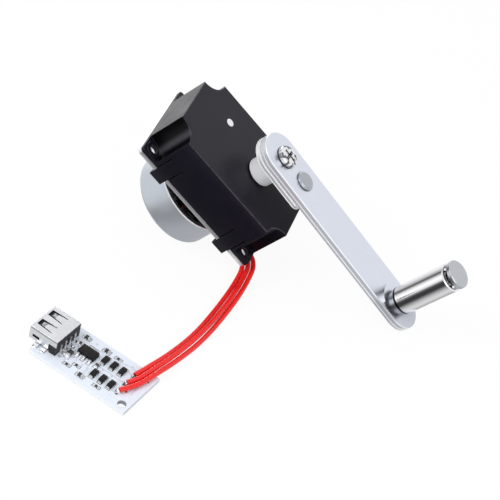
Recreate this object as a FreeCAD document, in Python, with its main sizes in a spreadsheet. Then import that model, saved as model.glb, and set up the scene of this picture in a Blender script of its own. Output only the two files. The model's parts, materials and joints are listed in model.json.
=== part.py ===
import FreeCAD, Part
import Sketcher
import math
import os
import re
from FreeCAD import Placement, Rotation, Vector

# Hand crank generator: a small gearbox with an outer rotor generator under its base plate,
# a crank arm with a spinning handle on its front, and a charging board on three wires.
# The machine lies tipped forward on the rim of its rotor and the far end of its crank arm.

doc = FreeCAD.newDocument("HandCrankGenerator")
sheet = doc.addObject("Spreadsheet::Sheet", "Sizes")

SIZES = {
    "gearbox housing": {
        "housing_length": 56,
        "housing_width": 37.2,
        "housing_depth": 17.5,
        "side_wall": 1.6,
        "front_wall": 1.8,
        "corner_scallop": 7.2,
        "ear_thickness": 1.4,
        "foot_corner": 1.2,
        "front_round": 0.5,
        "screw_hole": 3.4,
        "screw_inset": 3.6,
        "screw_ring": 6,
        "screw_ring_height": 0.3,
        "clip_width": 5.4,
        "first_clip": 11.6,
        "second_clip": 44.8,
        "clip_slot": 0.5,
        "clip_rise": 7.6,
        "clip_play": 0.15,
        "hook_reach": 1.1,
        "hook_height": 2.3,
        "boss_height": 1.4,
        "output_boss": 13,
        "axle_boss": 6,
    },
    "base plate": {
        "plate_thickness": 1.5,
        "rotor_from_end": 27.8,
        "crank_from_end": 35,
    },
    "rotor and stator": {
        "rotor_diameter": 34.2,
        "rotor_depth": 12.4,
        "rotor_gap": 5,
        "rotor_wall": 1,
        "rotor_floor": 1.2,
        "rotor_round": 1.2,
        "rotor_boss": 6.4,
        "rotor_boss_height": 2.4,
        "rotor_shaft_size": 3,
        "magnet_thickness": 1.5,
        "magnet_height": 9.8,
        "magnet_lift": 0.6,
        "air_gap": 0.5,
        "stack_height": 6,
        "stack_base": 5.2,
        "stator_teeth": 9,
        "stator_ring": 14.4,
        "tooth_width": 2.4,
        "shoe_width": 6.4,
        "shoe_thickness": 1.2,
        "coil_thickness": 1,
        "coil_end": 1.4,
        "coil_length": 4.6,
        "holder_tube": 10,
        "holder_flange": 17,
        "holder_flange_thickness": 1.4,
        "holder_spigot": 7.2,
        "holder_screw": 2,
        "holder_screw_circle": 13.4,
        "bearing_size": 7,
        "bearing_width": 3,
        "bearing_seat": 0.02,
        "lead_sleeve": 2.4,
        "lead_sleeve_length": 5,
        "lead_sleeve_out": 9.6,
        "lead_sleeve_pitch": 2.6,
        "lead_sleeve_turn": -25,
    },
    "gear train": {
        "fine_module": 0.5,
        "coarse_module": 0.6,
        "pressure_angle": 25,
        "addendum": 0.8,
        "dedendum": 1.1,
        "tooth_play": 0.06,
        "rotor_pinion_teeth": 15,
        "idler_wheel_teeth": 39,
        "idler_pinion_teeth": 13,
        "output_teeth": 54,
        "floor_play": 0.7,
        "wheel_face": 3.8,
        "gear_step": 1.2,
        "output_face": 5,
        "pinion_overlap": 0.5,
        "idler_axle_size": 3,
        "idler_hub": 6.4,
        "axle_proud": 0.15,
        "running_play": 0.05,
        "press_play": 0.01,
        "end_play": 0.3,
    },
    "crank": {
        "output_shaft_size": 6,
        "output_foot": 4,
        "foot_bush_size": 6,
        "bush_size": 9,
        "bush_flange": 12,
        "bush_flange_thickness": 0.8,
        "output_hub": 11,
        "shaft_flat": 2.4,
        "hub_size": 10.6,
        "hub_height": 7.6,
        "hub_play": 0.4,
        "bracket_thickness": 1.8,
        "bracket_reach": 16.5,
        "bracket_corner": 3,
        "arm_thickness": 3.2,
        "arm_width": 16.7,
        "arm_reach": 67.7,
        "arm_tail": 1.6,
        "arm_round": 0.5,
        "arm_angle": -4.66,
        "crank_radius": 66,
        "crank_screw_size": 4,
        "screw_head": 8,
        "screw_head_height": 1.9,
        "screw_length": 9,
        "cross_width": 1.1,
        "cross_length": 4.8,
        "cross_depth": 1.3,
        "rivet_size": 4,
        "rivet_head": 7,
        "rivet_head_height": 1.1,
        "rivet_foot": 6.4,
        "rivet_foot_height": 0.7,
        "rivet_from_crank": 10.7,
    },
    "handle": {
        "pin_size": 5,
        "pin_neck": 4.4,
        "pin_foot": 6.6,
        "pin_foot_height": 0.7,
        "pin_cap": 10.2,
        "pin_cap_thickness": 1.9,
        "pin_cap_chamfer": 0.4,
        "pin_shoulder": 6.8,
        "pin_shoulder_height": 1.3,
        "washer_size": 8.4,
        "washer_thickness": 1.2,
        "sleeve_size": 10.4,
        "sleeve_length": 22.6,
        "sleeve_recess": 8.6,
        "sleeve_recess_depth": 1,
        "sleeve_chamfer": 0.4,
        "sleeve_play": 0.2,
    },
    "charging board": {
        "board_length": 38.5,
        "board_width": 20.2,
        "board_thickness": 1.6,
        "board_x": -61.3,
        "board_y": -47.8,
        "board_turn": -14.6,
        "board_hole": 3,
        "board_hole_end": 2.6,
        "board_hole_side": 2.6,
        "socket_width": 13.1,
        "socket_depth": 10.9,
        "socket_height": 5.7,
        "socket_lift": 0.45,
        "socket_overhang": 3.2,
        "socket_wall": 0.4,
        "socket_corner": 0.9,
        "finger_root": 2.7,
        "finger_tip": 1.7,
        "finger_length": 5.7,
        "finger_slot": 0.4,
        "finger_gap": 0.7,
        "finger_front": 1.1,
        "finger_spacing": 5.6,
        "side_slot_length": 2.6,
        "side_slot_height": 0.8,
        "side_slot_front": 1.4,
        "lug_size": 1.7,
        "lug_reach": 1.5,
        "block_depth": 2.6,
        "tongue_width": 11.1,
        "tongue_length": 6.8,
        "tongue_thickness": 1.8,
        "tongue_drop": 0.6,
        "contact_width": 1,
        "contact_thickness": 0.3,
        "contact_pitch": 2.5,
        "contact_foot": 1.4,
        "pad_column": 32,
        "first_pad": 5.6,
        "pad_pitch": 4.3,
        "solder_size": 2.2,
        "solder_height": 1.5,
        "wire_size": 1.8,
    },
    "place on the table": {
        "machine_x": -44.3,
        "machine_y": 38.9,
    },
}

row = 1
for group, sizes in SIZES.items():
    sheet.set(f"A{row}", group)
    row += 1
    for name, number in sizes.items():
        sheet.set(f"A{row}", name)
        sheet.set(f"B{row}", str(number))
        sheet.setAlias(f"B{row}", name)
        row += 1
doc.recompute()

# Levels along the rotor axis, from the back of the rotor cup up to the crank.
PLATE_BASE = "(rotor_depth + rotor_gap)"
BOX_BASE = f"({PLATE_BASE} + plate_thickness)"
BOX_FRONT = f"({BOX_BASE} + housing_depth)"
CEILING = f"({BOX_FRONT} - front_wall)"
WHEEL_BASE = f"({BOX_BASE} + floor_play)"
STEP = f"({WHEEL_BASE} + wheel_face + gear_step)"
OUTPUT_TOP = f"({STEP} + output_face)"
HUB_BASE = f"({BOX_FRONT} + hub_play)"
BRACKET_BASE = f"({HUB_BASE} + hub_height)"
ARM_BASE = f"({BRACKET_BASE} + bracket_thickness)"
ARM_TOP = f"({ARM_BASE} + arm_thickness)"

# Distances in the plane of the base plate, from the rotor axis.
CRANK_OFFSET = "(crank_from_end - rotor_from_end)"
BOX_BACK = "(0 - rotor_from_end)"
BOX_END = "(housing_length - rotor_from_end)"
HALF_WIDTH = "(housing_width / 2)"
FINE_CENTRES = "((rotor_pinion_teeth + idler_wheel_teeth) * fine_module / 2)"
COARSE_CENTRES = "((idler_pinion_teeth + output_teeth) * coarse_module / 2)"
IDLER_X = f"(({FINE_CENTRES}^2 - {COARSE_CENTRES}^2 + {CRANK_OFFSET}^2) / (2 * {CRANK_OFFSET}))"
IDLER_Y = f"sqrt({FINE_CENTRES}^2 - {IDLER_X}^2)"
HOLE_X = [f"({BOX_BACK} + screw_inset)", f"({BOX_END} - screw_inset)"]
HOLE_Y = [f"({HALF_WIDTH} - screw_inset)", f"(screw_inset - {HALF_WIDTH})"]
CORNERS = [(x, y) for x in (BOX_BACK, BOX_END) for y in (f"(0 - {HALF_WIDTH})", HALF_WIDTH)]
SCREW_HOLES = [(x, y) for x in HOLE_X for y in HOLE_Y]
BOARD_TOP = "board_thickness"
SOCKET_SIDE = "((board_width - socket_width) / 2)"

# Middles of the three wires' bends between the machine and the charging board, as they lie.
WIRE_PATHS = [
    [
        (-17.5, 32, 9.1),
        (-8.9, 27.6, 5.3),
        (-7.4, 16.3, 3.4),
        (-9.4, 2.7, 1),
        (-12.4, -14.5, 1),
        (-17.3, -29.4, 1.7),
        (-20.5, -37.9, 2.75),
        (-24.3, -46, 2.75),
    ],
    [
        (-18.3, 29.9, 9.1),
        (-10.6, 26.4, 5.3),
        (-9.4, 16.3, 3.4),
        (-11.4, 3, 1),
        (-14.3, -14, 1),
        (-19.1, -28.6, 1.7),
        (-22.5, -36.9, 2.75),
        (-24.75, -42.6, 2.75),
    ],
    [
        (-19.1, 27.8, 9.1),
        (-12.3, 25.2, 5.3),
        (-11.4, 16.3, 3.4),
        (-13.4, 3.3, 1),
        (-16.2, -13.5, 1),
        (-20.9, -27.8, 1.7),
        (-24.3, -36, 2.75),
    ],
]

FUNCTIONS = {"sqrt", "cos", "sin", "tan", "min", "max"}
parts = []


def formula(text):
    """Point every size in a formula at its cell in the sheet."""
    names = re.compile(r"[a-z_]{3,}")
    return names.sub(lambda m: m[0] if m[0] in FUNCTIONS else f"Sizes.{m[0]}", str(text))


def value(text):
    return float(sheet.evalExpression(formula(text).replace("Sizes.", "")))


def bind(thing, prop, text):
    thing.setExpression(prop, formula(text))


def add_part(thing, label, place):
    thing.Label = label
    thing.Placement = place
    parts.append(thing)
    return thing


def new_body(label, place):
    return add_part(doc.addObject("PartDesign::Body", label), label, place)


def new_sketch(body, role="XY_Plane", level="0"):
    """Sketch on one of the body's own origin planes, moved along its normal."""
    sketch = body.newObject("Sketcher::SketchObject", "Sketch")
    plane = next(o for o in body.Origin.OriginFeatures if o.Role == role)
    sketch.AttachmentSupport = [(plane, "")]
    sketch.MapMode = "FlatFace"
    bind(sketch, "AttachmentOffset.Base.z", level)
    return sketch


def limit(sketch, kind, text, *where):
    """Add a dimension to the sketch and bind it to its formula."""
    index = sketch.addConstraint(Sketcher.Constraint(kind, *where, value(text)))
    bind(sketch, f"Constraints[{index}]", text)


def add_outline(sketch, corners):
    """Closed outline of straight edges through corners given as pairs of formulas."""
    points = [Vector(value(x), value(y), 0) for x, y in corners]
    first = sketch.GeometryCount
    total = len(points)
    for i, point in enumerate(points):
        sketch.addGeometry(Part.LineSegment(point, points[(i + 1) % total]))
    for i, (x, y) in enumerate(corners):
        following = first + (i + 1) % total
        sketch.addConstraint(Sketcher.Constraint("Coincident", first + i, 2, following, 1))
        limit(sketch, "DistanceX", x, -1, 1, first + i, 1)
        limit(sketch, "DistanceY", y, -1, 1, first + i, 1)
    return sketch


def add_circle(sketch, x, y, size):
    """Circle of a given diameter."""
    circle = Part.Circle(Vector(value(x), value(y), 0), Vector(0, 0, 1), value(size) / 2)
    index = sketch.addGeometry(circle)
    limit(sketch, "DistanceX", x, -1, 1, index, 3)
    limit(sketch, "DistanceY", y, -1, 1, index, 3)
    limit(sketch, "Diameter", size, index)
    return sketch


def add_box(sketch, x0, y0, x1, y1):
    return add_outline(sketch, [(x0, y0), (x1, y0), (x1, y1), (x0, y1)])


def grow(body, kind, sketch, length, reverse=False, both=False):
    """Pad or Pocket by a bound length; its sketch lies at its start, or halfway if both."""
    feature = body.newObject(f"PartDesign::{kind}", kind)
    feature.Profile = sketch
    bind(feature, "Length", length)
    feature.Reversed = reverse
    if both:
        feature.SideType = "Symmetric"
    doc.recompute()
    return feature


def pad(body, sketch, length, reverse=False, both=False):
    return grow(body, "Pad", sketch, length, reverse, both)


def pocket(body, sketch, length, reverse=False, both=False):
    """Pocket that must take material away."""
    before = body.Tip.Shape.Volume
    feature = grow(body, "Pocket", sketch, length, reverse, both)
    if feature.Shape.Volume > before - 1e-4:
        raise ValueError(f"a pocket of {body.Label} cuts nothing")
    return feature


def holes(body, spots, size, level, length, reverse=False):
    sketch = new_sketch(body, level=level)
    for x, y in spots:
        add_circle(sketch, x, y, size)
    return pocket(body, sketch, length, reverse)


def dress(body, kind, prop, size, chosen):
    """Fillet or Chamfer on the edges of the tip that the test chooses."""
    base = body.Tip
    names = [f"Edge{i + 1}" for i, edge in enumerate(base.Shape.Edges) if chosen(edge)]
    if not names:
        raise ValueError(f"no edge to dress on {body.Label}")
    feature = body.newObject(f"PartDesign::{kind}", kind)
    feature.Base = (base, names)
    bind(feature, prop, size)
    doc.recompute()
    return feature


def round_edges(body, size, chosen):
    return dress(body, "Fillet", "Radius", size, chosen)


def chamfer_edges(body, size, chosen):
    return dress(body, "Chamfer", "Size", size, chosen)


def at_level(level):
    height = value(level)
    return lambda edge: edge.BoundBox.ZLength < 1e-4 and abs(edge.BoundBox.ZMin - height) < 1e-4


def is_upright(edge):
    box = edge.BoundBox
    return box.XLength < 1e-4 and box.YLength < 1e-4 and box.ZLength > 1e-4


def lathe(label, place, corners):
    """Turned piece: an outline of radius and level pairs, revolved about the Z axis."""
    body = new_body(label, place)
    sketch = add_outline(new_sketch(body, "XZ_Plane"), corners)
    turned = body.newObject("PartDesign::Revolution", "Revolution")
    turned.Profile = sketch
    turned.ReferenceAxis = (sketch, ["V_Axis"])
    turned.Angle = 360
    doc.recompute()
    return body


def add_shape(label, place, shapes):
    """Sub-part of one or more solids made with Part's own functions."""
    feature = doc.addObject("Part::Feature", label)
    feature.Shape = shapes[0] if len(shapes) == 1 else Part.makeCompound(shapes)
    return add_part(feature, label, place)


def block(x, y, z, length, width, height):
    """Box by the middle of its base."""
    return Part.makeBox(length, width, height, Vector(x - length / 2, y - width / 2, z))


# Rest pose. The table touches the rounded back edge of the rotor and the underside of the
# arm's far end, so the tilt is that of the common tangent of those two rounded edges.
arm_turn = math.radians(value("arm_angle"))
rotor_edge = Vector(value("rotor_diameter / 2 - rotor_round"), 0, value("rotor_round"))
arm_edge_x = value(CRANK_OFFSET) + value("arm_reach") * math.cos(arm_turn)
arm_edge_x += value("arm_width / 2 - arm_round")
arm_edge = Vector(arm_edge_x, 0, value(f"{ARM_BASE} + arm_round"))
span = arm_edge - rotor_edge
tilt = math.atan2(span.z, span.x)
tilt += math.asin(value("rotor_round - arm_round") / span.Length)
lift = value("rotor_round") - rotor_edge.z * math.cos(tilt) + rotor_edge.x * math.sin(tilt)

on_table = Vector(value("machine_x"), value("machine_y"), lift)
MACHINE = Placement(on_table, Rotation(Vector(0, 1, 0), math.degrees(tilt)))
crank_spot = Vector(value(CRANK_OFFSET), 0, 0)
crank_turn = Rotation(Vector(0, 0, 1), value("arm_angle"))
CRANK = MACHINE.multiply(Placement(crank_spot, crank_turn))
idler_spot = Vector(value(IDLER_X), value(IDLER_Y), 0)
IDLER = MACHINE.multiply(Placement(idler_spot, Rotation()))
board_spot = Vector(value("board_x"), value("board_y"), 0)
BOARD = Placement(board_spot, Rotation(Vector(0, 0, 1), value("board_turn")))


def scalloped_outline(sketch, inset, scallop):
    """Footprint moved in by a wall, with a quarter round taken out of each corner.

    The quarter rounds are centred on the corners of the whole footprint.
    """
    x0 = f"({BOX_BACK} + {inset})"
    x1 = f"({BOX_END} - {inset})"
    y1 = f"({HALF_WIDTH} - {inset})"
    left, right, top = value(x0), value(x1), value(y1)
    radius = value(scallop)
    reach = math.sqrt(radius**2 - value(inset) ** 2)
    back, end, half = value(BOX_BACK), value(BOX_END), value(HALF_WIDTH)
    start = math.degrees(math.asin(value(inset) / radius))
    arcs = [
        (back, -half, start, 90 - start),
        (end, -half, 90 + start, 180 - start),
        (end, half, 180 + start, 270 - start),
        (back, half, 270 + start, 360 - start),
    ]
    for x, y, first, last in arcs:
        circle = Part.Circle(Vector(x, y, 0), Vector(0, 0, 1), radius)
        arc = Part.ArcOfCircle(circle, math.radians(first), math.radians(last))
        sketch.addGeometry(arc)
    sides = [
        (Vector(back + reach, -top), Vector(end - reach, -top)),
        (Vector(right, -half + reach), Vector(right, half - reach)),
        (Vector(end - reach, top), Vector(back + reach, top)),
        (Vector(left, half - reach), Vector(left, -half + reach)),
    ]
    for first, last in sides:
        sketch.addGeometry(Part.LineSegment(first, last))
    ends = [(0, 1, 4, 1), (4, 2, 1, 2), (1, 1, 5, 1), (5, 2, 2, 2)]
    ends += [(2, 1, 6, 1), (6, 2, 3, 2), (3, 1, 7, 1), (7, 2, 0, 2)]
    for joined in ends:
        sketch.addConstraint(Sketcher.Constraint("Coincident", *joined))
    for line, kind in ((4, "Horizontal"), (5, "Vertical"), (6, "Horizontal"), (7, "Vertical")):
        sketch.addConstraint(Sketcher.Constraint(kind, line))
    order = [(BOX_BACK, f"0 - {HALF_WIDTH}"), (BOX_END, f"0 - {HALF_WIDTH}")]
    order += [(BOX_END, HALF_WIDTH), (BOX_BACK, HALF_WIDTH)]
    for arc, (x, y) in enumerate(order):
        limit(sketch, "DistanceX", x, -1, 1, arc, 3)
        limit(sketch, "DistanceY", y, -1, 1, arc, 3)
        limit(sketch, "Radius", scallop, arc)
    limit(sketch, "DistanceY", f"0 - {y1}", -1, 1, 4, 1)
    limit(sketch, "DistanceX", x1, -1, 1, 5, 1)
    limit(sketch, "DistanceY", y1, -1, 1, 6, 1)
    limit(sketch, "DistanceX", x0, -1, 1, 7, 1)
    return sketch


def make_housing():
    body = new_body("gearbox_housing", MACHINE)
    low = f"0 - {HALF_WIDTH}"
    footprint = add_box(new_sketch(body, level=BOX_BASE), BOX_BACK, low, BOX_END, HALF_WIDTH)
    pad(body, footprint, "housing_depth")
    round_edges(body, "foot_corner", is_upright)
    holes(body, CORNERS, "2 * corner_scallop", BOX_FRONT, "housing_depth - ear_thickness")
    round_edges(body, "front_round", at_level(BOX_FRONT))
    cavity = new_sketch(body, level=BOX_BASE)
    scalloped_outline(cavity, "side_wall", "(corner_scallop + side_wall)")
    pocket(body, cavity, "housing_depth - front_wall", reverse=True)
    bosses = new_sketch(body, level=CEILING)
    add_circle(bosses, CRANK_OFFSET, "0", "output_boss")
    add_circle(bosses, IDLER_X, IDLER_Y, "axle_boss")
    pad(body, bosses, "boss_height", reverse=True)
    depth = "front_wall + boss_height"
    holes(body, [(CRANK_OFFSET, "0")], "bush_size + 2 * press_play", BOX_FRONT, depth)
    holes(body, [(IDLER_X, IDLER_Y)], "idler_axle_size + 2 * press_play", BOX_FRONT, depth)
    rings = new_sketch(body, level=f"{BOX_BASE} + ear_thickness")
    for x, y in SCREW_HOLES:
        add_circle(rings, x, y, "screw_ring")
    pad(body, rings, "screw_ring_height")
    through = "ear_thickness + screw_ring_height"
    holes(body, SCREW_HOLES, "screw_hole", f"{BOX_BASE} + {through}", through)
    make_clips(body)
    return body


def make_clips(body):
    """Snap clips: tongues cut free of both long walls, with a hook under the base plate."""
    slots = new_sketch(body, "XZ_Plane")
    for spot in ("first_clip", "second_clip"):
        for side in (-1, 1):
            middle = f"({BOX_BACK} + {spot} + {side} * (clip_width + clip_slot) / 2)"
            top = f"{BOX_BASE} + clip_rise"
            add_box(slots, f"{middle} - clip_slot / 2", BOX_BASE, f"{middle} + clip_slot / 2", top)
    pocket(body, slots, "housing_width", both=True)
    inner = f"({HALF_WIDTH} - side_wall)"
    under = f"({PLATE_BASE} - clip_play)"
    foot = f"({under} - hook_height)"
    hooks = []
    for spot in ("first_clip", "second_clip"):
        hook = new_sketch(body, "YZ_Plane", f"{BOX_BACK} + {spot}")
        corners = [
            (HALF_WIDTH, BOX_BASE),
            (inner, BOX_BASE),
            (inner, under),
            (f"{inner} - hook_reach", under),
            (f"{inner} - hook_reach", f"{under} - hook_height / 3"),
            (f"{inner} + side_wall / 3", foot),
            (HALF_WIDTH, foot),
        ]
        hooks.append(pad(body, add_outline(hook, corners), "clip_width", both=True))
    mirrored = body.newObject("PartDesign::Mirrored", "Mirrored")
    mirrored.Originals = hooks
    plane = next(o for o in body.Origin.OriginFeatures if o.Role == "XZ_Plane")
    mirrored.MirrorPlane = (plane, [""])
    body.Tip = mirrored
    doc.recompute()


def make_base_plate():
    body = new_body("base_plate", MACHINE)
    low = f"0 - {HALF_WIDTH}"
    footprint = add_box(new_sketch(body, level=PLATE_BASE), BOX_BACK, low, BOX_END, HALF_WIDTH)
    pad(body, footprint, "plate_thickness")
    round_edges(body, "foot_corner", is_upright)
    notches = new_sketch(body, level=BOX_BASE)
    inner = f"({HALF_WIDTH} - side_wall - clip_play)"
    outer = f"({HALF_WIDTH} + 1)"
    for spot in ("first_clip", "second_clip"):
        start = f"{BOX_BACK} + {spot} - clip_width / 2 - clip_play"
        stop = f"{BOX_BACK} + {spot} + clip_width / 2 + clip_play"
        add_box(notches, start, inner, stop, outer)
        add_box(notches, start, f"0 - {outer}", stop, f"0 - {inner}")
    pocket(body, notches, "plate_thickness")
    holes(body, SCREW_HOLES, "screw_hole", BOX_BASE, "plate_thickness")
    holes(body, [("0", "0")], "holder_spigot + 2 * press_play", BOX_BASE, "plate_thickness")
    holes(body, [(CRANK_OFFSET, "0")], "foot_bush_size + 2 * press_play", BOX_BASE, "plate_thickness")
    holes(body, [(IDLER_X, IDLER_Y)], "idler_axle_size + 2 * press_play", BOX_BASE, "plate_thickness")
    holes(body, HOLDER_SCREWS, "holder_screw", BOX_BASE, "plate_thickness")
    return body


HOLDER_SCREWS = []
for turn in (90, 180, 270):
    x = f"(holder_screw_circle / 2 * cos({turn}))"
    y = f"(holder_screw_circle / 2 * sin({turn}))"
    HOLDER_SCREWS.append((x, y))


def make_rotor():
    """Cup, magnet ring, shaft and pinion: they turn together about the machine's Z axis."""
    wall = "(rotor_diameter / 2 - rotor_wall)"
    boss_top = "(rotor_floor + rotor_boss_height)"
    bore = "rotor_shaft_size / 2 + press_play"
    cup = lathe("rotor_cup", MACHINE, [
        (bore, "0"),
        ("rotor_diameter / 2", "0"),
        ("rotor_diameter / 2", "rotor_depth"),
        (wall, "rotor_depth"),
        (wall, "rotor_floor"),
        ("rotor_boss / 2", "rotor_floor"),
        ("rotor_boss / 2", boss_top),
        (bore, boss_top),
    ])
    rim = value("rotor_diameter / 2")
    round_edges(cup, "rotor_round", lambda e: at_level("0")(e) and e.BoundBox.XMax > rim - 0.01)
    magnet_base = "(rotor_floor + magnet_lift)"
    magnet_top = f"({magnet_base} + magnet_height)"
    lathe("magnet_ring", MACHINE, [
        (f"{wall} - magnet_thickness", magnet_base),
        (f"{wall} - press_play", magnet_base),
        (f"{wall} - press_play", magnet_top),
        (f"{wall} - magnet_thickness", magnet_top),
    ])
    shaft_top = f"{WHEEL_BASE} + wheel_face + gear_step / 2"
    shaft = lathe("rotor_shaft", MACHINE, [
        ("0", "0.2"),
        ("rotor_shaft_size / 2", "0.2"),
        ("rotor_shaft_size / 2", shaft_top),
        ("0", shaft_top),
    ])
    chamfer_edges(shaft, "0.2", at_level(shaft_top))


def make_stator():
    """Holder tube screwed under the base plate, with the wound stator on its outside."""
    tube = "holder_tube / 2"
    seat = "(bearing_size / 2 + bearing_seat)"
    tube_foot = "(rotor_floor + rotor_boss_height + 0.4)"
    bore_top = f"({PLATE_BASE} - 0.6)"
    flange = f"{PLATE_BASE} - holder_flange_thickness"
    spigot = "holder_spigot / 2"
    neck = "rotor_shaft_size / 2 + 0.5"
    holder = lathe("stator_holder", MACHINE, [
        (seat, tube_foot),
        (tube, tube_foot),
        (tube, flange),
        ("holder_flange / 2", flange),
        ("holder_flange / 2", PLATE_BASE),
        (spigot, PLATE_BASE),
        (spigot, BOX_BASE),
        (neck, BOX_BASE),
        (neck, bore_top),
        (seat, bore_top),
    ])
    holes(holder, HOLDER_SCREWS, "holder_screw", PLATE_BASE, "holder_flange_thickness")
    bearings = []
    bore = value("rotor_shaft_size / 2 + running_play / 2")
    race = value("bearing_size / 2")
    low = value(f"{tube_foot} + 0.2")
    high = value(f"{bore_top} - bearing_width")
    width = value("bearing_width")
    for base in (low, high):
        ring = Part.makeCylinder(race, width, Vector(0, 0, base))
        bearings.append(ring.cut(Part.makeCylinder(bore, width, Vector(0, 0, base))))
    add_shape("rotor_bearings", MACHINE, bearings)
    lathe("bearing_spacer", MACHINE, [
        ("bearing_size / 2 - 0.8", f"{tube_foot} + 0.2 + bearing_width"),
        ("bearing_size / 2", f"{tube_foot} + 0.2 + bearing_width"),
        ("bearing_size / 2", f"{bore_top} - bearing_width"),
        ("bearing_size / 2 - 0.8", f"{bore_top} - bearing_width"),
    ])
    make_stack()
    screws = []
    head = value("holder_screw")
    reach = value("holder_flange_thickness + plate_thickness")
    for x, y in HOLDER_SCREWS:
        foot = Vector(value(x), value(y), value(flange))
        shank = Part.makeCylinder(head / 2 - 0.05, reach, foot)
        screws.append(shank.fuse(Part.makeCylinder(head * 0.8, 0.8, foot - Vector(0, 0, 0.8))))
    add_shape("holder_screws", MACHINE, screws)


def make_stack():
    body = new_body("stator_core", MACHINE)
    ring = new_sketch(body, level="stack_base")
    add_circle(ring, "0", "0", "stator_ring")
    add_circle(ring, "0", "0", "holder_tube + 2 * press_play")
    pad(body, ring, "stack_height")
    tip = "(rotor_diameter / 2 - rotor_wall - magnet_thickness - air_gap)"
    outer = f"sqrt({tip}^2 - (shoe_width / 2)^2)"
    inner = f"({outer} - shoe_thickness)"
    tooth = new_sketch(body, level="stack_base")
    half = "tooth_width / 2"
    add_outline(tooth, [
        ("stator_ring / 2 - 0.6", f"0 - {half}"),
        (inner, f"0 - {half}"),
        (inner, "0 - shoe_width / 2"),
        (outer, "0 - shoe_width / 2"),
        (outer, "shoe_width / 2"),
        (inner, "shoe_width / 2"),
        (inner, half),
        ("stator_ring / 2 - 0.6", half),
    ])
    teeth = body.newObject("PartDesign::PolarPattern", "PolarPattern")
    teeth.Originals = [pad(body, tooth, "stack_height")]
    axis = next(o for o in body.Origin.OriginFeatures if o.Role == "Z_Axis")
    teeth.Axis = (axis, [""])
    teeth.Angle = 360
    bind(teeth, "Occurrences", "stator_teeth")
    body.Tip = teeth
    doc.recompute()
    play = value("press_play")
    core = value("tooth_width") + 2 * play
    wide = value("tooth_width + 2 * coil_thickness")
    tall = value("stack_height + 2 * coil_end")
    long = value("coil_length")
    base = value("stack_base - coil_end")
    middle = value(f"{inner} - 0.1") - long / 2
    coil = block(middle, 0, base, long, wide, tall)
    along = [edge for edge in coil.Edges if edge.BoundBox.XLength > long / 2]
    coil = coil.makeChamfer(value("coil_thickness") * 0.6, along)
    slot = block(middle, 0, value("stack_base") - play, long + 1, core, value("stack_height") + 2 * play)
    coil = coil.cut(slot)
    coils = []
    total = int(value("stator_teeth"))
    for turn in range(total):
        copy = coil.copy()
        copy.rotate(Vector(0, 0, 0), Vector(0, 0, 1), 360 * turn / total)
        coils.append(copy)
    add_shape("stator_windings", MACHINE, coils)
    make_lead_sleeves()


def sleeve_frames():
    """Places of the lead sleeves' middles on top of the windings, side by side."""
    level = value("stack_base + stack_height + coil_end + lead_sleeve / 2")
    turn = Rotation(Vector(0, 0, 1), value("lead_sleeve_turn"))
    frames = []
    for step in (1, 0, -1):
        spot = Vector(value("lead_sleeve_out"), step * value("lead_sleeve_pitch"), level)
        frames.append(Placement(turn.multVec(spot), turn))
    return frames


def make_lead_sleeves():
    length = value("lead_sleeve_length")
    sleeves = []
    for frame in sleeve_frames():
        start = frame.multVec(Vector(-length / 2, 0, 0))
        way = frame.Rotation.multVec(Vector(1, 0, 0))
        sleeves.append(Part.makeCylinder(value("lead_sleeve / 2"), length, start, way))
    add_shape("lead_sleeves", MACHINE, sleeves)


def involute_point(base, radius, side, start):
    """Point of an involute flank at a radius; side is 1 or -1 and start its root angle."""
    roll = math.sqrt(max((radius / base) ** 2 - 1, 0))
    angle = start + side * (roll - math.atan(roll))
    return Vector(radius * math.cos(angle), radius * math.sin(angle), 0)


def gear_face(teeth, module, tooth_angle):
    """Flat face of a stub-tooth involute gear, one tooth centred on tooth_angle (radians)."""
    pitch = teeth * module / 2
    base = pitch * math.cos(math.radians(value("pressure_angle")))
    tip = pitch + value("addendum") * module
    root = pitch - value("dedendum") * module
    roll = math.tan(math.radians(value("pressure_angle")))
    flank = roll - math.radians(value("pressure_angle"))
    half = math.pi / 2 / teeth - value("tooth_play") / 2 / pitch + flank
    low = max(root, base)
    middle = (low + tip) / 2
    edges = []
    first = last = None
    for index in range(teeth):
        centre = tooth_angle + index * 2 * math.pi / teeth
        rising = [involute_point(base, r, 1, centre - half) for r in (low, middle, tip)]
        falling = [involute_point(base, r, -1, centre + half) for r in (tip, middle, low)]
        foot = [Vector(rising[0]), Vector(falling[2])]
        for spot in foot:
            spot.multiply(root / spot.Length)
        if last is not None:
            edges.append(Part.LineSegment(last, foot[0]))
        else:
            first = foot[0]
        if (rising[0] - foot[0]).Length > 1e-5:
            edges.append(Part.LineSegment(foot[0], rising[0]))
        edges.append(Part.Arc(*rising))
        edges.append(Part.LineSegment(rising[2], falling[0]))
        edges.append(Part.Arc(*falling))
        if (falling[2] - foot[1]).Length > 1e-5:
            edges.append(Part.LineSegment(falling[2], foot[1]))
        last = foot[1]
    edges.append(Part.LineSegment(last, first))
    return Part.Face(Part.Wire([edge.toShape() for edge in edges]))


def gear_solid(teeth, module, tooth_angle, base, width):
    face = gear_face(teeth, module, tooth_angle)
    face.translate(Vector(0, 0, base))
    return face.extrude(Vector(0, 0, width))


def disc(size, base, top):
    """Upright cylinder of a given diameter between two levels."""
    return Part.makeCylinder(size / 2, top - base, Vector(0, 0, base))


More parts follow.
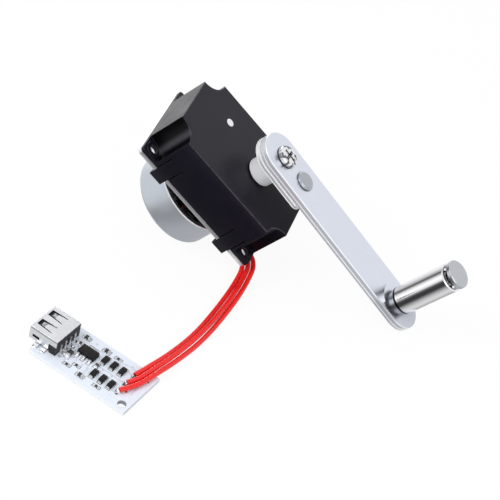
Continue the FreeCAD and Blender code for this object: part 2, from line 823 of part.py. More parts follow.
def make_gears():
    """Rotor pinion, idler wheel and pinion, and output gear, in mesh at rest."""
    fine = value("fine_module")
    coarse = value("coarse_module")
    low = value(WHEEL_BASE)
    face = value("wheel_face")
    step = value(STEP)
    width = value("output_face")
    extra = value("pinion_overlap")
    play = value("press_play")
    to_idler = math.atan2(idler_spot.y, idler_spot.x)
    rotor_teeth = int(value("rotor_pinion_teeth"))
    wheel_teeth = int(value("idler_wheel_teeth"))
    pinion_teeth = int(value("idler_pinion_teeth"))
    output_teeth = int(value("output_teeth"))

    pinion = gear_solid(rotor_teeth, fine, to_idler, low - extra, face + 2 * extra)
    bore = disc(value("rotor_shaft_size") + 2 * play, low - extra, low + face + extra)
    add_shape("rotor_pinion", MACHINE, [pinion.cut(bore)])

    back = to_idler + math.pi + math.pi / wheel_teeth
    wheel = gear_solid(wheel_teeth, fine, back, low, face)
    hub = value("idler_hub")
    add_shape("idler_wheel", IDLER, [wheel.cut(disc(hub + 2 * play, low, low + face))])

    to_output = math.atan2(-idler_spot.y, crank_spot.x - idler_spot.x)
    foot = value(f"{BOX_BASE} + end_play")
    head = value(f"{CEILING} - boss_height - end_play")
    top = value(OUTPUT_TOP) + extra
    pinion = gear_solid(pinion_teeth, coarse, to_output, low + face, top - low - face)
    pinion = pinion.fuse(disc(hub, foot, low + face)).fuse(disc(value("axle_boss"), top, head))
    bore = disc(value("idler_axle_size + 2 * running_play"), foot, head)
    add_shape("idler_pinion", IDLER, [pinion.cut(bore)])

    meeting = to_output + math.pi + math.pi / output_teeth - arm_turn
    gear = gear_solid(output_teeth, coarse, meeting, step, width)
    hub_top = value(f"{CEILING} - boss_height - bush_flange_thickness - end_play")
    gear = gear.fuse(disc(value("output_hub"), step, hub_top))
    add_shape("output_gear", CRANK, [gear.cut(disc(value("output_shaft_size") + 2 * play, step, hub_top))])


def make_supports():
    """Axle of the idler and the two bushes of the output shaft."""
    axle_top = f"({BOX_FRONT} + axle_proud)"
    axle = lathe("idler_axle", IDLER, [
        ("0", PLATE_BASE),
        ("idler_axle_size / 2", PLATE_BASE),
        ("idler_axle_size / 2", axle_top),
        ("0", axle_top),
    ])
    chamfer_edges(axle, "0.1", at_level(axle_top))
    bore = "output_shaft_size / 2 + running_play"
    boss_base = f"({CEILING} - boss_height)"
    crank_axis = MACHINE.multiply(Placement(crank_spot, Rotation()))
    lathe("output_bush", crank_axis, [
        (bore, f"{boss_base} - bush_flange_thickness"),
        ("bush_flange / 2", f"{boss_base} - bush_flange_thickness"),
        ("bush_flange / 2", boss_base),
        ("bush_size / 2", boss_base),
        ("bush_size / 2", BOX_FRONT),
        (bore, BOX_FRONT),
    ])
    lathe("foot_bush", crank_axis, [
        ("output_foot / 2 + running_play", PLATE_BASE),
        ("foot_bush_size / 2", PLATE_BASE),
        ("foot_bush_size / 2", BOX_BASE),
        ("output_foot / 2 + running_play", BOX_BASE),
    ])


def add_slot(sketch, x0, x1, width):
    """Outline with full round ends centred at x0 and x1."""
    left, right, radius = value(x0), value(x1), value(width) / 2
    up, quarter = Vector(0, 0, 1), math.pi / 2
    near = Part.Circle(Vector(left, 0, 0), up, radius)
    far = Part.Circle(Vector(right, 0, 0), up, radius)
    sketch.addGeometry(Part.ArcOfCircle(near, quarter, 3 * quarter))
    sketch.addGeometry(Part.LineSegment(Vector(left, -radius, 0), Vector(right, -radius, 0)))
    sketch.addGeometry(Part.ArcOfCircle(far, -quarter, quarter))
    sketch.addGeometry(Part.LineSegment(Vector(right, radius, 0), Vector(left, radius, 0)))
    for index in range(4):
        joined = (index, 2, (index + 1) % 4, 1)
        sketch.addConstraint(Sketcher.Constraint("Coincident", *joined))
    for line in (1, 3):
        sketch.addConstraint(Sketcher.Constraint("Horizontal", line))
    limit(sketch, "DistanceX", x0, -1, 1, 1, 1)
    limit(sketch, "DistanceX", x1, -1, 1, 1, 2)
    limit(sketch, "DistanceX", x0, -1, 1, 0, 3)
    limit(sketch, "DistanceX", x1, -1, 1, 2, 3)
    limit(sketch, "DistanceY", f"0 - {width} / 2", -1, 1, 1, 1)
    limit(sketch, "DistanceY", f"{width} / 2", -1, 1, 3, 1)
    return sketch


def make_crank():
    """Output shaft, hub, bracket and arm, with the screw and rivet that hold them together."""
    foot = "output_foot / 2"
    shaft = lathe("output_shaft", CRANK, [
        ("0", PLATE_BASE),
        (foot, PLATE_BASE),
        (foot, STEP),
        ("output_shaft_size / 2", STEP),
        ("output_shaft_size / 2", BRACKET_BASE),
        ("0", BRACKET_BASE),
    ])
    flat = new_sketch(shaft, level=BRACKET_BASE)
    add_box(flat, "shaft_flat", "0 - output_shaft_size", "output_shaft_size", "output_shaft_size")
    pocket(shaft, flat, "hub_height")
    tapped = "screw_length - arm_thickness - bracket_thickness + 0.5"
    holes(shaft, [("0", "0")], "crank_screw_size + 2 * press_play", BRACKET_BASE, tapped)

    hub = new_body("crank_hub", CRANK)
    pad(hub, add_circle(new_sketch(hub, level=HUB_BASE), "0", "0", "hub_size"), "hub_height")
    holes(hub, [("0", "0")], "output_shaft_size + 2 * press_play", BRACKET_BASE, "hub_height")
    key = new_sketch(hub, level=HUB_BASE)
    wide = "output_shaft_size * 0.4"
    add_box(key, "shaft_flat + press_play", f"0 - {wide}", "hub_size * 0.4", wide)
    pad(hub, key, "hub_height")
    rim = 0.01 - value("hub_size / 2")
    round_edges(hub, "0.4", lambda e: at_level(HUB_BASE)(e) and e.BoundBox.XMin < rim)

    bracket = new_body("crank_bracket", CRANK)
    half = "arm_width / 2"
    plate = new_sketch(bracket, level=BRACKET_BASE)
    pad(bracket, add_box(plate, "0 - arm_tail", f"0 - {half}", "bracket_reach", half), "bracket_thickness")
    far = value("bracket_reach")
    round_edges(bracket, "bracket_corner", lambda e: is_upright(e) and e.BoundBox.XMin > far - 0.01)
    near = add_circle(new_sketch(bracket, level=BRACKET_BASE), "0 - arm_tail", "0", "arm_width")
    pad(bracket, near, "bracket_thickness")
    fixings = [("0", "0")]
    holes(bracket, fixings, "crank_screw_size + 2 * running_play", ARM_BASE, "bracket_thickness")
    rivet_spot = [("rivet_from_crank", "0")]
    holes(bracket, rivet_spot, "rivet_size + 2 * press_play", ARM_BASE, "bracket_thickness")

    arm = new_body("crank_arm", CRANK)
    outline = add_slot(new_sketch(arm, level=ARM_BASE), "0 - arm_tail", "arm_reach", "arm_width")
    pad(arm, outline, "arm_thickness")
    low, high = at_level(ARM_BASE), at_level(ARM_TOP)
    round_edges(arm, "arm_round", lambda e: low(e) or high(e))
    holes(arm, fixings, "crank_screw_size + 2 * running_play", ARM_TOP, "arm_thickness")
    holes(arm, rivet_spot, "rivet_size + 2 * press_play", ARM_TOP, "arm_thickness")
    holes(arm, [("crank_radius", "0")], "pin_neck + 2 * press_play", ARM_TOP, "arm_thickness")

    top = f"({ARM_TOP} + screw_head_height)"
    tip = f"({ARM_TOP} - screw_length)"
    screw = lathe("crank_screw", CRANK, [
        ("0", tip),
        ("crank_screw_size / 2 - 0.4", tip),
        ("crank_screw_size / 2", f"{tip} + 0.4"),
        ("crank_screw_size / 2", ARM_TOP),
        ("screw_head / 2", ARM_TOP),
        ("screw_head / 2", top),
        ("0", top),
    ])
    round_edges(screw, "0.9", at_level(top))
    cross = new_sketch(screw, level=top)
    length, width = "cross_length / 2", "cross_width / 2"
    add_box(cross, f"0 - {length}", f"0 - {width}", length, width)
    pocket(screw, cross, "cross_depth")
    cross = new_sketch(screw, level=top)
    add_box(cross, f"0 - {width}", f"0 - {length}", width, length)
    pocket(screw, cross, "cross_depth")

    rivet_place = CRANK.multiply(Placement(Vector(value("rivet_from_crank"), 0, 0), Rotation()))
    foot = f"{BRACKET_BASE} - rivet_foot_height"
    top = f"{ARM_TOP} + rivet_head_height"
    rivet = lathe("crank_rivet", rivet_place, [
        ("0", foot),
        ("rivet_foot / 2", foot),
        ("rivet_foot / 2", BRACKET_BASE),
        ("rivet_size / 2", BRACKET_BASE),
        ("rivet_size / 2", ARM_TOP),
        ("rivet_head / 2", ARM_TOP),
        ("rivet_head / 2", top),
        ("0", top),
    ])
    chamfer_edges(rivet, "0.5", at_level(top))


def make_handle():
    """Fixed pin with its cap and washer, and the sleeve that spins on it."""
    place = CRANK.multiply(Placement(Vector(value("crank_radius"), 0, 0), Rotation()))
    washer_top = f"({ARM_TOP} + washer_thickness)"
    sleeve_base = f"({washer_top} + sleeve_play)"
    sleeve_top = f"({sleeve_base} + sleeve_length)"
    shoulder = f"({sleeve_top} + sleeve_play)"
    cap_base = f"({shoulder} + pin_shoulder_height)"
    cap_top = f"({cap_base} + pin_cap_thickness)"
    foot = f"({ARM_BASE} - pin_foot_height)"
    pin = lathe("handle_pin", place, [
        ("0", foot),
        ("pin_foot / 2", foot),
        ("pin_foot / 2", ARM_BASE),
        ("pin_neck / 2", ARM_BASE),
        ("pin_neck / 2", ARM_TOP),
        ("pin_size / 2", ARM_TOP),
        ("pin_size / 2", shoulder),
        ("pin_shoulder / 2", shoulder),
        ("pin_shoulder / 2", cap_base),
        ("pin_cap / 2", cap_base),
        ("pin_cap / 2", cap_top),
        ("0", cap_top),
    ])
    rim = value("pin_cap / 2") - 0.01
    for level in (cap_base, cap_top):
        is_end = at_level(level)
        chamfer_edges(pin, "pin_cap_chamfer", lambda e: is_end(e) and e.BoundBox.XMax > rim)
    lathe("handle_washer", place, [
        ("pin_size / 2 + press_play", ARM_TOP),
        ("washer_size / 2", ARM_TOP),
        ("washer_size / 2", washer_top),
        ("pin_size / 2 + press_play", washer_top),
    ])
    bore = "pin_size / 2 + running_play"
    floor = f"{sleeve_top} - sleeve_recess_depth"
    sleeve = lathe("handle_sleeve", place, [
        (bore, sleeve_base),
        ("sleeve_size / 2", sleeve_base),
        ("sleeve_size / 2", sleeve_top),
        ("sleeve_recess / 2", sleeve_top),
        ("sleeve_recess / 2", floor),
        (bore, floor),
    ])
    outside = value("sleeve_size / 2") - 0.01
    for level in (sleeve_base, sleeve_top):
        is_end = at_level(level)
        chamfer_edges(sleeve, "sleeve_chamfer", lambda e: is_end(e) and e.BoundBox.XMax > outside)


def lug_spots():
    """Places along the board of the socket's two pairs of solder lugs."""
    mouth = value("0 - socket_overhang")
    front = mouth + value("socket_depth") * 0.34
    back = mouth + value("socket_depth - block_depth - socket_wall - lug_size / 2 - 0.3")
    return front, back


def make_circuit_board():
    body = new_body("circuit_board", BOARD)
    pad(body, add_box(new_sketch(body), "0", "0", "board_length", "board_width"), "board_thickness")
    hole = [("board_length - board_hole_end", "board_hole_side")]
    holes(body, hole, "board_hole", BOARD_TOP, "board_thickness")


def finger_slot(front, middle, level):
    """U-shaped slot that frees one spring finger, which narrows towards its tip."""
    slot = value("finger_slot")
    tip, root = value("finger_tip / 2"), value("finger_root / 2")
    end = front + value("finger_length")
    nose = front + value("finger_gap")
    half = [(front, tip + slot), (end, root + slot), (end, root), (nose, tip)]
    corners = [Vector(x, middle + y, level) for x, y in half]
    corners += [Vector(x, middle - y, level) for x, y in reversed(half)]
    corners.append(corners[0])
    return Part.Face(Part.makePolygon(corners)).extrude(Vector(0, 0, 2))


def make_socket():
    """Charging socket: folded shell, insulator with its tongue, and four contacts."""
    side = value(SOCKET_SIDE)
    width, depth, height = value("socket_width"), value("socket_depth"), value("socket_height")
    wall, top = value("socket_wall"), value(BOARD_TOP)
    play = value("press_play")
    mouth = -value("socket_overhang")
    rear = mouth + depth
    base = top + value("socket_lift")
    roof = base + height
    middle = side + width / 2

    shell = Part.makeBox(depth, width, height, Vector(mouth, side, base))
    along = [e for e in shell.Edges if e.BoundBox.XLength > depth - 0.01]
    shell = shell.makeFillet(value("socket_corner"), along)
    corner = Vector(mouth, side + wall, base + wall)
    inside = Part.makeBox(depth, width - 2 * wall, height - 2 * wall, corner)
    along = [e for e in inside.Edges if e.BoundBox.XLength > depth - 0.01]
    inside = inside.makeFillet(value("socket_corner - socket_wall"), along)
    shell = shell.cut(inside)
    for step in (-0.5, 0.5):
        centre = middle + step * value("finger_spacing")
        shell = shell.cut(finger_slot(mouth + value("finger_front"), centre, roof - 1))
    window = value("block_depth + socket_wall")
    opening = height * 0.55
    corner = Vector(rear - window, side - 1, base - 1)
    shell = shell.cut(Part.makeBox(window, width + 2, opening + 1, corner))
    for edge in (side - 1, side + width - 1):
        corner = Vector(mouth + value("side_slot_front"), edge, base + height * 0.36)
        size = value("side_slot_length"), 2, value("side_slot_height")
        shell = shell.cut(Part.makeBox(*size, corner))
    lug, out = value("lug_size"), value("lug_reach")
    inner = value("socket_corner") + 0.5
    for spot in lug_spots():
        for edge in (side - out, side + width - inner):
            foot = Vector(spot - lug / 2, edge, top)
            shell = shell.fuse(Part.makeBox(lug, out + inner, value("socket_lift") + wall / 2, foot))
    add_shape("usb_shell", BOARD, [shell.removeSplitter()])

    deep = value("block_depth")
    block_shape = Part.makeBox(
        deep,
        width - 2 * wall - 2 * play,
        height - 2 * wall - 2 * play,
        Vector(rear - deep, side + wall + play, base + wall + play),
    )
    along = [e for e in block_shape.Edges if e.BoundBox.XLength > deep - 0.01]
    block_shape = block_shape.makeFillet(value("socket_corner - socket_wall"), along)
    skirt = Vector(rear - deep, side, top)
    block_shape = block_shape.fuse(Part.makeBox(deep, width, base - top + opening - play, skirt))
    tongue_top = roof - wall - value("tongue_drop")
    tongue = block(
        rear - deep - value("tongue_length") / 2 + 0.2,
        middle,
        tongue_top - value("tongue_thickness"),
        value("tongue_length") + 0.4,
        value("tongue_width"),
        value("tongue_thickness"),
    )
    block_shape = block_shape.fuse(tongue)
    thick, strip = value("contact_thickness"), value("contact_width")
    under = tongue_top - value("tongue_thickness") - thick
    tip = rear - deep - value("tongue_length") + 1.2
    contacts = []
    for step in (-1.5, -0.5, 0.5, 1.5):
        y = middle + step * value("contact_pitch") - strip / 2
        blade = Part.makeBox(rear - tip + thick, strip, thick, Vector(tip, y, under))
        grown = Vector(rear - deep - 0.1, y - play, under - play)
        channel = Part.makeBox(deep + 1, strip + 2 * play, thick + play, grown)
        block_shape = block_shape.cut(channel)
        leg = Part.makeBox(thick, strip, under - top, Vector(rear + play, y, top))
        foot = Part.makeBox(value("contact_foot"), strip, thick, Vector(rear + play, y, top))
        contacts.append(blade.fuse(leg).fuse(foot).removeSplitter())
    add_shape("usb_insulator", BOARD, [block_shape.removeSplitter()])
    add_shape("usb_contacts", BOARD, contacts)


def make_components():
    """Soldered parts on the board, and the solder joints of the wires and the socket."""
    top = value(BOARD_TOP)
    body = block(15.1, 12.0, top + 0.1, 6.8, 3.9, 1.6)
    tab = block(15.1, 14.4, top, 3.1, 2.6, 0.6)
    body = body.fuse(tab)
    for x in (12.7, 15.1, 17.5):
        body = body.fuse(block(x, 9.5, top, 0.8, 2.4, 0.6))
    add_shape("regulator", BOARD, [body.removeSplitter()])

    diodes = []
    for spots, y in (((20.9, 24.4, 27.9), 13.7), ((21.7, 25.2, 28.6), 6.5)):
        for x in spots:
            diode = block(x, y, top + 0.1, 2.1, 3.4, 1.2)
            leads = block(x, y, top, 1.3, 4.6, 0.3)
            diodes.append(diode.fuse(leads).removeSplitter())
    add_shape("rectifier_diodes", BOARD, diodes)

    capacitors = [(10.7, 7.8, 1.7, 3.2, 1.4), (18.8, 2.7, 2.1, 1.3, 1), (18.8, 17.4, 2.1, 1.3, 1)]
    capacitors += [(10.4, 17.6, 2.1, 1.3, 1), (20.2, 9.9, 1.3, 1.8, 0.9)]
    add_shape("capacitors", BOARD, [block(x, y, top, a, b, h) for x, y, a, b, h in capacitors])
    resistors = [(12.8, 3.5), (10.3, 14.3), (25.5, 2.7), (15.4, 5.4), (23.6, 17.4)]
    add_shape("resistors", BOARD, [block(x, y, top, 1.7, 0.9, 0.5) for x, y in resistors])

    joints = []
    size, height = value("solder_size"), value("solder_height")
    for spot, end in wire_ends():
        joint = Part.makeCone(size / 2, size * 0.3, height, spot)
        away = Vector(end.x - spot.x, end.y - spot.y, 0)
        beyond = Part.makeBox(size, 2 * size, 4 * height, Vector(0, -size, -2 * height))
        beyond.Placement = Placement(end, Rotation(Vector(1, 0, 0), away))
        joints.append(joint.cut(beyond))
    side, out = value(SOCKET_SIDE), value("lug_reach")
    width = value("socket_width")
    for x in lug_spots():
        for y, inward in ((side - out, 1), (side + width + out, -1)):
            joint = Part.makeCone(0.95, 0.5, 0.6, Vector(x, y, top))
            joints.append(joint.cut(block(x, y + inward * size / 2, top, size, size, 1)))
    add_shape("solder_joints", BOARD, joints)


def wire_ends():
    """Middle of each solder pad and of the wire's end, in the board's frame."""
    ends = []
    level = value("board_thickness + wire_size / 2 + 0.25")
    for index, path in enumerate(WIRE_PATHS):
        pad_y = value(f"first_pad + {index} * pad_pitch")
        spot = Vector(value("pad_column"), pad_y, value(BOARD_TOP))
        came = BOARD.inverse().multVec(Vector(*path[-1]))
        way = Vector(came.x - spot.x, came.y - spot.y, 0).normalize()
        end = Vector(spot.x, spot.y, level) + way * 0.5
        ends.append((spot, end))
    return ends


def cord(points, size):
    """Round cord of straight runs joined by tangent arcs, and its smallest bend radius."""
    edges = []
    bends = []
    here = points[0]
    for before, corner, after in zip(points, points[1:], points[2:]):
        into, out = corner - before, after - corner
        turn = into.getAngle(out)
        cut = 0.45 * min(into.Length, out.Length)
        bends.append(cut / math.tan(turn / 2))
        into.normalize()
        out.normalize()
        start, stop = corner - into * cut, corner + out * cut
        middle = (out - into).normalize()
        radius = bends[-1]
        nearest = corner + middle * (radius / math.cos(turn / 2) - radius)
        edges.append(Part.LineSegment(here, start).toShape())
        edges.append(Part.Arc(start, nearest, stop).toShape())
        here = stop
    edges.append(Part.LineSegment(here, points[-1]).toShape())
    spine = Part.Wire(edges)
    ring = Part.Circle(points[0], points[1] - points[0], size / 2).toShape()
    tube = spine.makePipe(Part.Face(Part.Wire([ring])))
    true_volume = math.pi * size**2 / 4 * spine.Length
    if abs(tube.Volume - true_volume) > true_volume / 100:
        raise ValueError("a cord's volume is off its length")
    return tube, min(bends)


def make_wires():
    length = value("lead_sleeve_length")
    ends = wire_ends()
    for index, (frame, path) in enumerate(zip(sleeve_frames(), WIRE_PATHS)):
        place = MACHINE.multiply(frame)
        points = [place.multVec(Vector(length * share, 0, 0)) for share in (0.5, 1.4)]
        points += [Vector(*spot) for spot in path]
        points.append(BOARD.multVec(ends[index][1]))
        tube, tightest = cord(points, value("wire_size"))
        name = f"wire_{index + 1}"
        print(name, "smallest bend radius", round(tightest, 2))
        for point in points:
            print("   ", round(point.x, 2), round(point.y, 2), round(point.z, 2))
        add_shape(name, Placement(), [tube])


make_housing()
make_base_plate()
make_supports()
make_stator()
make_rotor()
make_gears()
make_crank()
make_handle()
make_circuit_board()
make_socket()
make_components()
make_wires()
doc.recompute()

for thing in doc.Objects:
    if "Invalid" in thing.State or "Error" in thing.State:
        raise ValueError(f"{thing.Name} does not compute")
os.makedirs("parts", exist_ok=True)
for part in parts:
    shape = part.Shape
    if shape.isNull() or not shape.isValid():
        raise ValueError(f"{part.Label} has no valid shape")
    shape.exportStep(f"parts/{part.Label}.step")
    print(part.Label, len(shape.Solids), "solids", round(shape.Volume, 1))
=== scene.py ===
import json
import math
import random

import bmesh
import bpy
from mathutils import Euler, Matrix, Vector


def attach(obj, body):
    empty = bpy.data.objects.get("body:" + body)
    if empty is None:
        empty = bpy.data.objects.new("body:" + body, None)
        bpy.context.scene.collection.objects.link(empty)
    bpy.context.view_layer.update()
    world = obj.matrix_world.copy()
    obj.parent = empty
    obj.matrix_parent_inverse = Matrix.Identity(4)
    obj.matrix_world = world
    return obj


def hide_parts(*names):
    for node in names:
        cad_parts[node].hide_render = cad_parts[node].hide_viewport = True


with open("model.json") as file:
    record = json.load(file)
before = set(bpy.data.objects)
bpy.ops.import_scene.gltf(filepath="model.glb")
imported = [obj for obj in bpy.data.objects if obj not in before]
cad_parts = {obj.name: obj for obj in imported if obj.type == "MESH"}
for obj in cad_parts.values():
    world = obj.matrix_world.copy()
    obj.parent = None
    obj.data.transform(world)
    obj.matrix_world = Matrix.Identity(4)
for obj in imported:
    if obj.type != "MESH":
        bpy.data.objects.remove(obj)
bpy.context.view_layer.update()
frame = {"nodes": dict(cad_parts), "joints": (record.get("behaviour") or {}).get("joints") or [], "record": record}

# Hand crank generator: gearbox on the rotor cup, crank arm with a spinning sleeve, charging board
# on three red wires. The metal and the housing come from the CAD; this file gives them their
# finishes and adds the wires, the coils, and the small parts and copper of the board.

nodes = frame["nodes"]
joints = {joint["name"]: joint for joint in frame["joints"]}
mounts = {mount["name"]: mount for mount in frame["record"]["mounts"]}
mm = 0.001

# frames of the machine, the crank, the handle and the board: millimetres in, row metres out

rotorLevel = 6                          # mm, the rotor's joint above the cup's base
boardTop = 1.6                          # mm
boardHole = (35.9, 2.6)                 # mm along and across the board


def standingFrame(origin, xAxis, zAxis):
    yAxis = zAxis.cross(xAxis).normalized()
    turn = Matrix((yAxis.cross(zAxis), yAxis, zAxis)).transposed()
    return Matrix.Translation(origin) @ turn.to_4x4() @ Matrix.Scale(mm, 4)


rotorAxis = Vector(joints["rotor_spin"]["axis"])
cupBase = Vector(joints["rotor_spin"]["pos_m"]) - rotorAxis * rotorLevel * mm
crankSpot = Vector(joints["crank_spin"]["pos_m"])
handleSpot = Vector(joints["handle_spin"]["pos_m"])


def levelWithCup(spot):
    return spot - rotorAxis * (spot - cupBase).dot(rotorAxis)


machine = standingFrame(cupBase, Vector((1, 0, 0)), rotorAxis)
crank = standingFrame(levelWithCup(crankSpot), handleSpot - crankSpot, rotorAxis)
handle = standingFrame(levelWithCup(handleSpot), Vector((1, 0, 0)), rotorAxis)

boardAlong = -Vector(mounts["usb_socket"]["axis"])
boardAcross = Vector((0, 0, 1)).cross(boardAlong)
toHole = boardAlong * boardHole[0] + boardAcross * boardHole[1] + Vector((0, 0, boardTop / 2))
boardCorner = Vector(mounts["board_hole"]["pos_m"]) - toHole * mm
board = standingFrame(boardCorner, boardAlong, Vector((0, 0, 1)))


def addObject(name, data):
    made = bpy.data.objects.new(name, data)
    bpy.context.scene.collection.objects.link(made)
    return made


cameraView = {
    "place": (0.04230544, -0.40297353, 0.39208210),
    "turn": (47.36420, -12.76961, 18.59429),    # degrees
    "lens": 118.135,
}


def setCamera():
    made = bpy.data.cameras.new("camera")
    made.lens = cameraView["lens"]
    made.clip_start = 0.01
    camera = addObject("camera", made)
    camera.location = cameraView["place"]
    camera.rotation_euler = Euler([math.radians(angle) for angle in cameraView["turn"]])
    bpy.context.scene.camera = camera


setCamera()
print("camera set")


# the three wires from the windings to the board, each with its length and its route in metres
wires = {
    "thickness": 0.0018,
    "laid": [
        (0.1031, [
            (-0.02651, 0.03614, 0.01373), (-0.02317, 0.03424, 0.0114), (-0.0175, 0.032, 0.0091),
            (-0.0080, 0.0289, 0.0055), (-0.00766, 0.0167, 0.0034), (-0.00956, 0.0027, 0.001),
            (-0.01256, -0.0145, 0.001), (-0.0175, -0.0294, 0.0017), (-0.0208, -0.0379, 0.00275),
            (-0.02445, -0.046, 0.00275), (-0.02856, -0.0501, 0.00275),
        ]),
        (0.0958, [
            (-0.02742, 0.03379, 0.01436), (-0.02407, 0.03188, 0.01203), (-0.0183, 0.0299, 0.0091),
            (-0.0097, 0.0275, 0.0055), (-0.0095, 0.0166, 0.0043), (-0.0109, 0.003, 0.0024),
            (-0.0142, -0.014, 0.0023), (-0.0191, -0.0287, 0.0024), (-0.0225, -0.0369, 0.0029),
            (-0.02475, -0.0426, 0.00275), (-0.02752, -0.0459, 0.00275),
        ]),
        (0.0886, [
            (-0.02832, 0.03143, 0.01499), (-0.02497, 0.02953, 0.01266), (-0.0191, 0.0278, 0.0091),
            (-0.0114, 0.0261, 0.0055), (-0.01134, 0.0165, 0.0034), (-0.01324, 0.0033, 0.001),
            (-0.01604, -0.0135, 0.001), (-0.0207, -0.0278, 0.0017), (-0.024, -0.036, 0.00275),
            (-0.02657, -0.04166, 0.00275),
        ]),
    ],
}


def layWire(number, length, route):
    line = bpy.data.curves.new(f"wire_{number}_line", "CURVE")
    line.dimensions = "3D"
    spline = line.splines.new("NURBS")
    spline.points.add(len(route) - 1)
    for point, place in zip(spline.points, route):
        point.co = (*place, 1)
        point.radius = wires["thickness"] / 2
    spline.order_u = 3
    spline.use_endpoint_u = True
    line.resolution_u = 12
    line.bevel_depth = 1        # times each point's radius
    line.bevel_resolution = 5
    line.use_fill_caps = True
    wire = addObject(f"red_wire_{number}", line)
    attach(wire, "generator")
    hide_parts(f"wire_{number}")
    return wire


redWires = [layWire(number, *laid) for number, laid in enumerate(wires["laid"], 1)]
print("wires laid")


class Reading:  # the value on a socket, which takes part in plain sums
    def __init__(self, owner, socket):
        self.owner = owner
        self.socket = socket

    def math(self, operation, *values):
        settings = {"operation": operation}
        return self.owner.node("Math", settings, dict(enumerate(values)))

    def __add__(self, other):
        return self.math("ADD", self, other)

    __radd__ = __add__

    def __sub__(self, other):
        return self.math("SUBTRACT", self, other)

    def __rsub__(self, other):
        return self.math("SUBTRACT", other, self)

    def __mul__(self, other):
        return self.math("MULTIPLY", self, other)

    __rmul__ = __mul__

    def __truediv__(self, other):
        return self.math("DIVIDE", self, other)

    def __rtruediv__(self, other):
        return self.math("DIVIDE", other, self)

    def __pow__(self, other):
        return self.math("POWER", self, other)

    def __rpow__(self, other):
        return self.math("POWER", other, self)

    def size(self):  # without its sign
        return self.math("ABSOLUTE", self)

    def sine(self):
        return self.math("SINE", self)

    def over(self, edge):
        return self.math("GREATER_THAN", self, edge)

    def largest(self, other):
        return self.math("MAXIMUM", self, other)

    def within(self, low, high):
        return self.over(low) * (1 - self.over(high))

    def spread(self, low, high, toLow=0.0, toHigh=1.0):  # low..high becomes toLow..toHigh
        ends = {"From Min": low, "From Max": high, "To Min": toLow, "To Max": toHigh}
        settings = {"interpolation_type": "SMOOTHSTEP"}
        return self.owner.node("MapRange", settings, {"Value": self, **ends})

    def between(self, low, high):  # a noise, stretched to low..high
        return self.spread(0.3, 0.7, low, high)


class Nodes:  # a node tree
    def __init__(self, tree):
        self.tree = tree

    def node(self, kind, settings=None, inputs=None, output=0):
        made = self.tree.nodes.new("ShaderNode" + kind)
        for name, setting in (settings or {}).items():
            setattr(made, name, setting)
        for name, level in (inputs or {}).items():
            if isinstance(level, Reading):
                self.tree.links.new(level.socket, made.inputs[name])
            else:
                made.inputs[name].default_value = level
        return Reading(self, made.outputs[output]) if len(made.outputs) else None

    def several(self, kind, outputs, inputs=None):  # one node, read at several sockets
        made = self.node(kind, None, inputs).socket.node
        return [Reading(self, made.outputs[name]) for name in outputs]


finishes = {}


class Finish(Nodes):
    def __init__(self, name, colour, metallic=0.0, gloss=0.5):
        material = bpy.data.materials.new(name)
        material.use_nodes = True
        material.diffuse_color = (*colour, 1)
        super().__init__(material.node_tree)
        self.colour = colour
        self.shader = self.tree.nodes["Principled BSDF"]
        self.shader.inputs["Base Color"].default_value = (*colour, 1)
        self.shader.inputs["Metallic"].default_value = metallic
        self.shader.inputs["Specular IOR Level"].default_value = gloss
        finishes[name] = material

    def feed(self, socket, reading):
        self.tree.links.new(reading.socket, self.shader.inputs[socket])

    def paint(self, colour, roughness):
        self.feed("Base Color", colour)
        self.feed("Roughness", roughness)

    def along(self, place):  # coordinates in a frame's own millimetres
        spot, turn, scale = place.decompose()
        where = self.node("TexCoord", output="Object")
        inputs = {"Vector": where, "Location": spot, "Rotation": turn.to_euler(), "Scale": scale}
        return self.node("Mapping", {"vector_type": "TEXTURE"}, inputs)

    def axes(self, where):
        return self.several("SeparateXYZ", "XYZ", {"Vector": where})

    def noise(self, where, size, detail=2.0, roughness=0.5, stretch=None):
        if stretch:
            inputs = {0: where, 1: stretch}
            where = self.node("VectorMath", {"operation": "MULTIPLY"}, inputs)
        inputs = {"Vector": where, "Scale": 1 / size, "Detail": detail, "Roughness": roughness}
        return self.node("TexNoise", None, inputs, "Fac")

    def cells(self, where, size):
        inputs = {"Vector": where, "Scale": 1 / size}
        return self.node("TexVoronoi", None, inputs, "Distance")

    def mix(self, mask, first, second):  # colours, second where the mask is 1
        inputs = {0: mask, 6: first, 7: second}
        for index in (6, 7):
            if not isinstance(inputs[index], Reading):
                inputs[index] = (*inputs[index], 1)
        return self.node("Mix", {"data_type": "RGBA"}, inputs, 2)

    def shade(self, reading, low, high):  # own colour times low..high as the reading goes 0..1
        dark = [channel * low for channel in self.colour]
        light = [min(channel * high, 1) for channel in self.colour]
        return self.mix(reading, dark, light)

    def facing(self, way, normal=None):  # 1 where the surface faces that way at rest
        inputs = {0: normal or self.node("TexCoord", output="Normal"), 1: way}
        return self.node("VectorMath", {"operation": "DOT_PRODUCT"}, inputs, "Value")

    def rounded(self, radius):  # the normal, rounded over edges
        return self.node("Bevel", {"samples": 6}, {"Radius": radius * mm})

    def edges(self, rounded):  # 1 where it is rounded
        flat = self.node("NewGeometry", output="Normal")
        return (1 - self.facing(flat, rounded)).spread(0.004, 0.16)

    def relief(self, height, depth, under=None, strength=1.0):  # depth in millimetres
        inputs = {"Height": height, "Distance": depth * mm, "Strength": strength}
        if under:
            inputs["Normal"] = under
        self.feed("Normal", self.node("Bump", None, inputs))


def reach(x, y):  # how far from the middle
    return (x * x + y * y) ** 0.5


def turned(finish, place):  # place, radius and level on a turned piece, and its ring noise
    where = finish.along(place)
    x, y, z = finish.axes(where)
    radius = reach(x, y)
    flat = finish.node("CombineXYZ", inputs={"X": radius, "Y": z, "Z": 0.0})
    return where, radius, z, finish.noise(flat, 0.12, 3.0, 0.7)


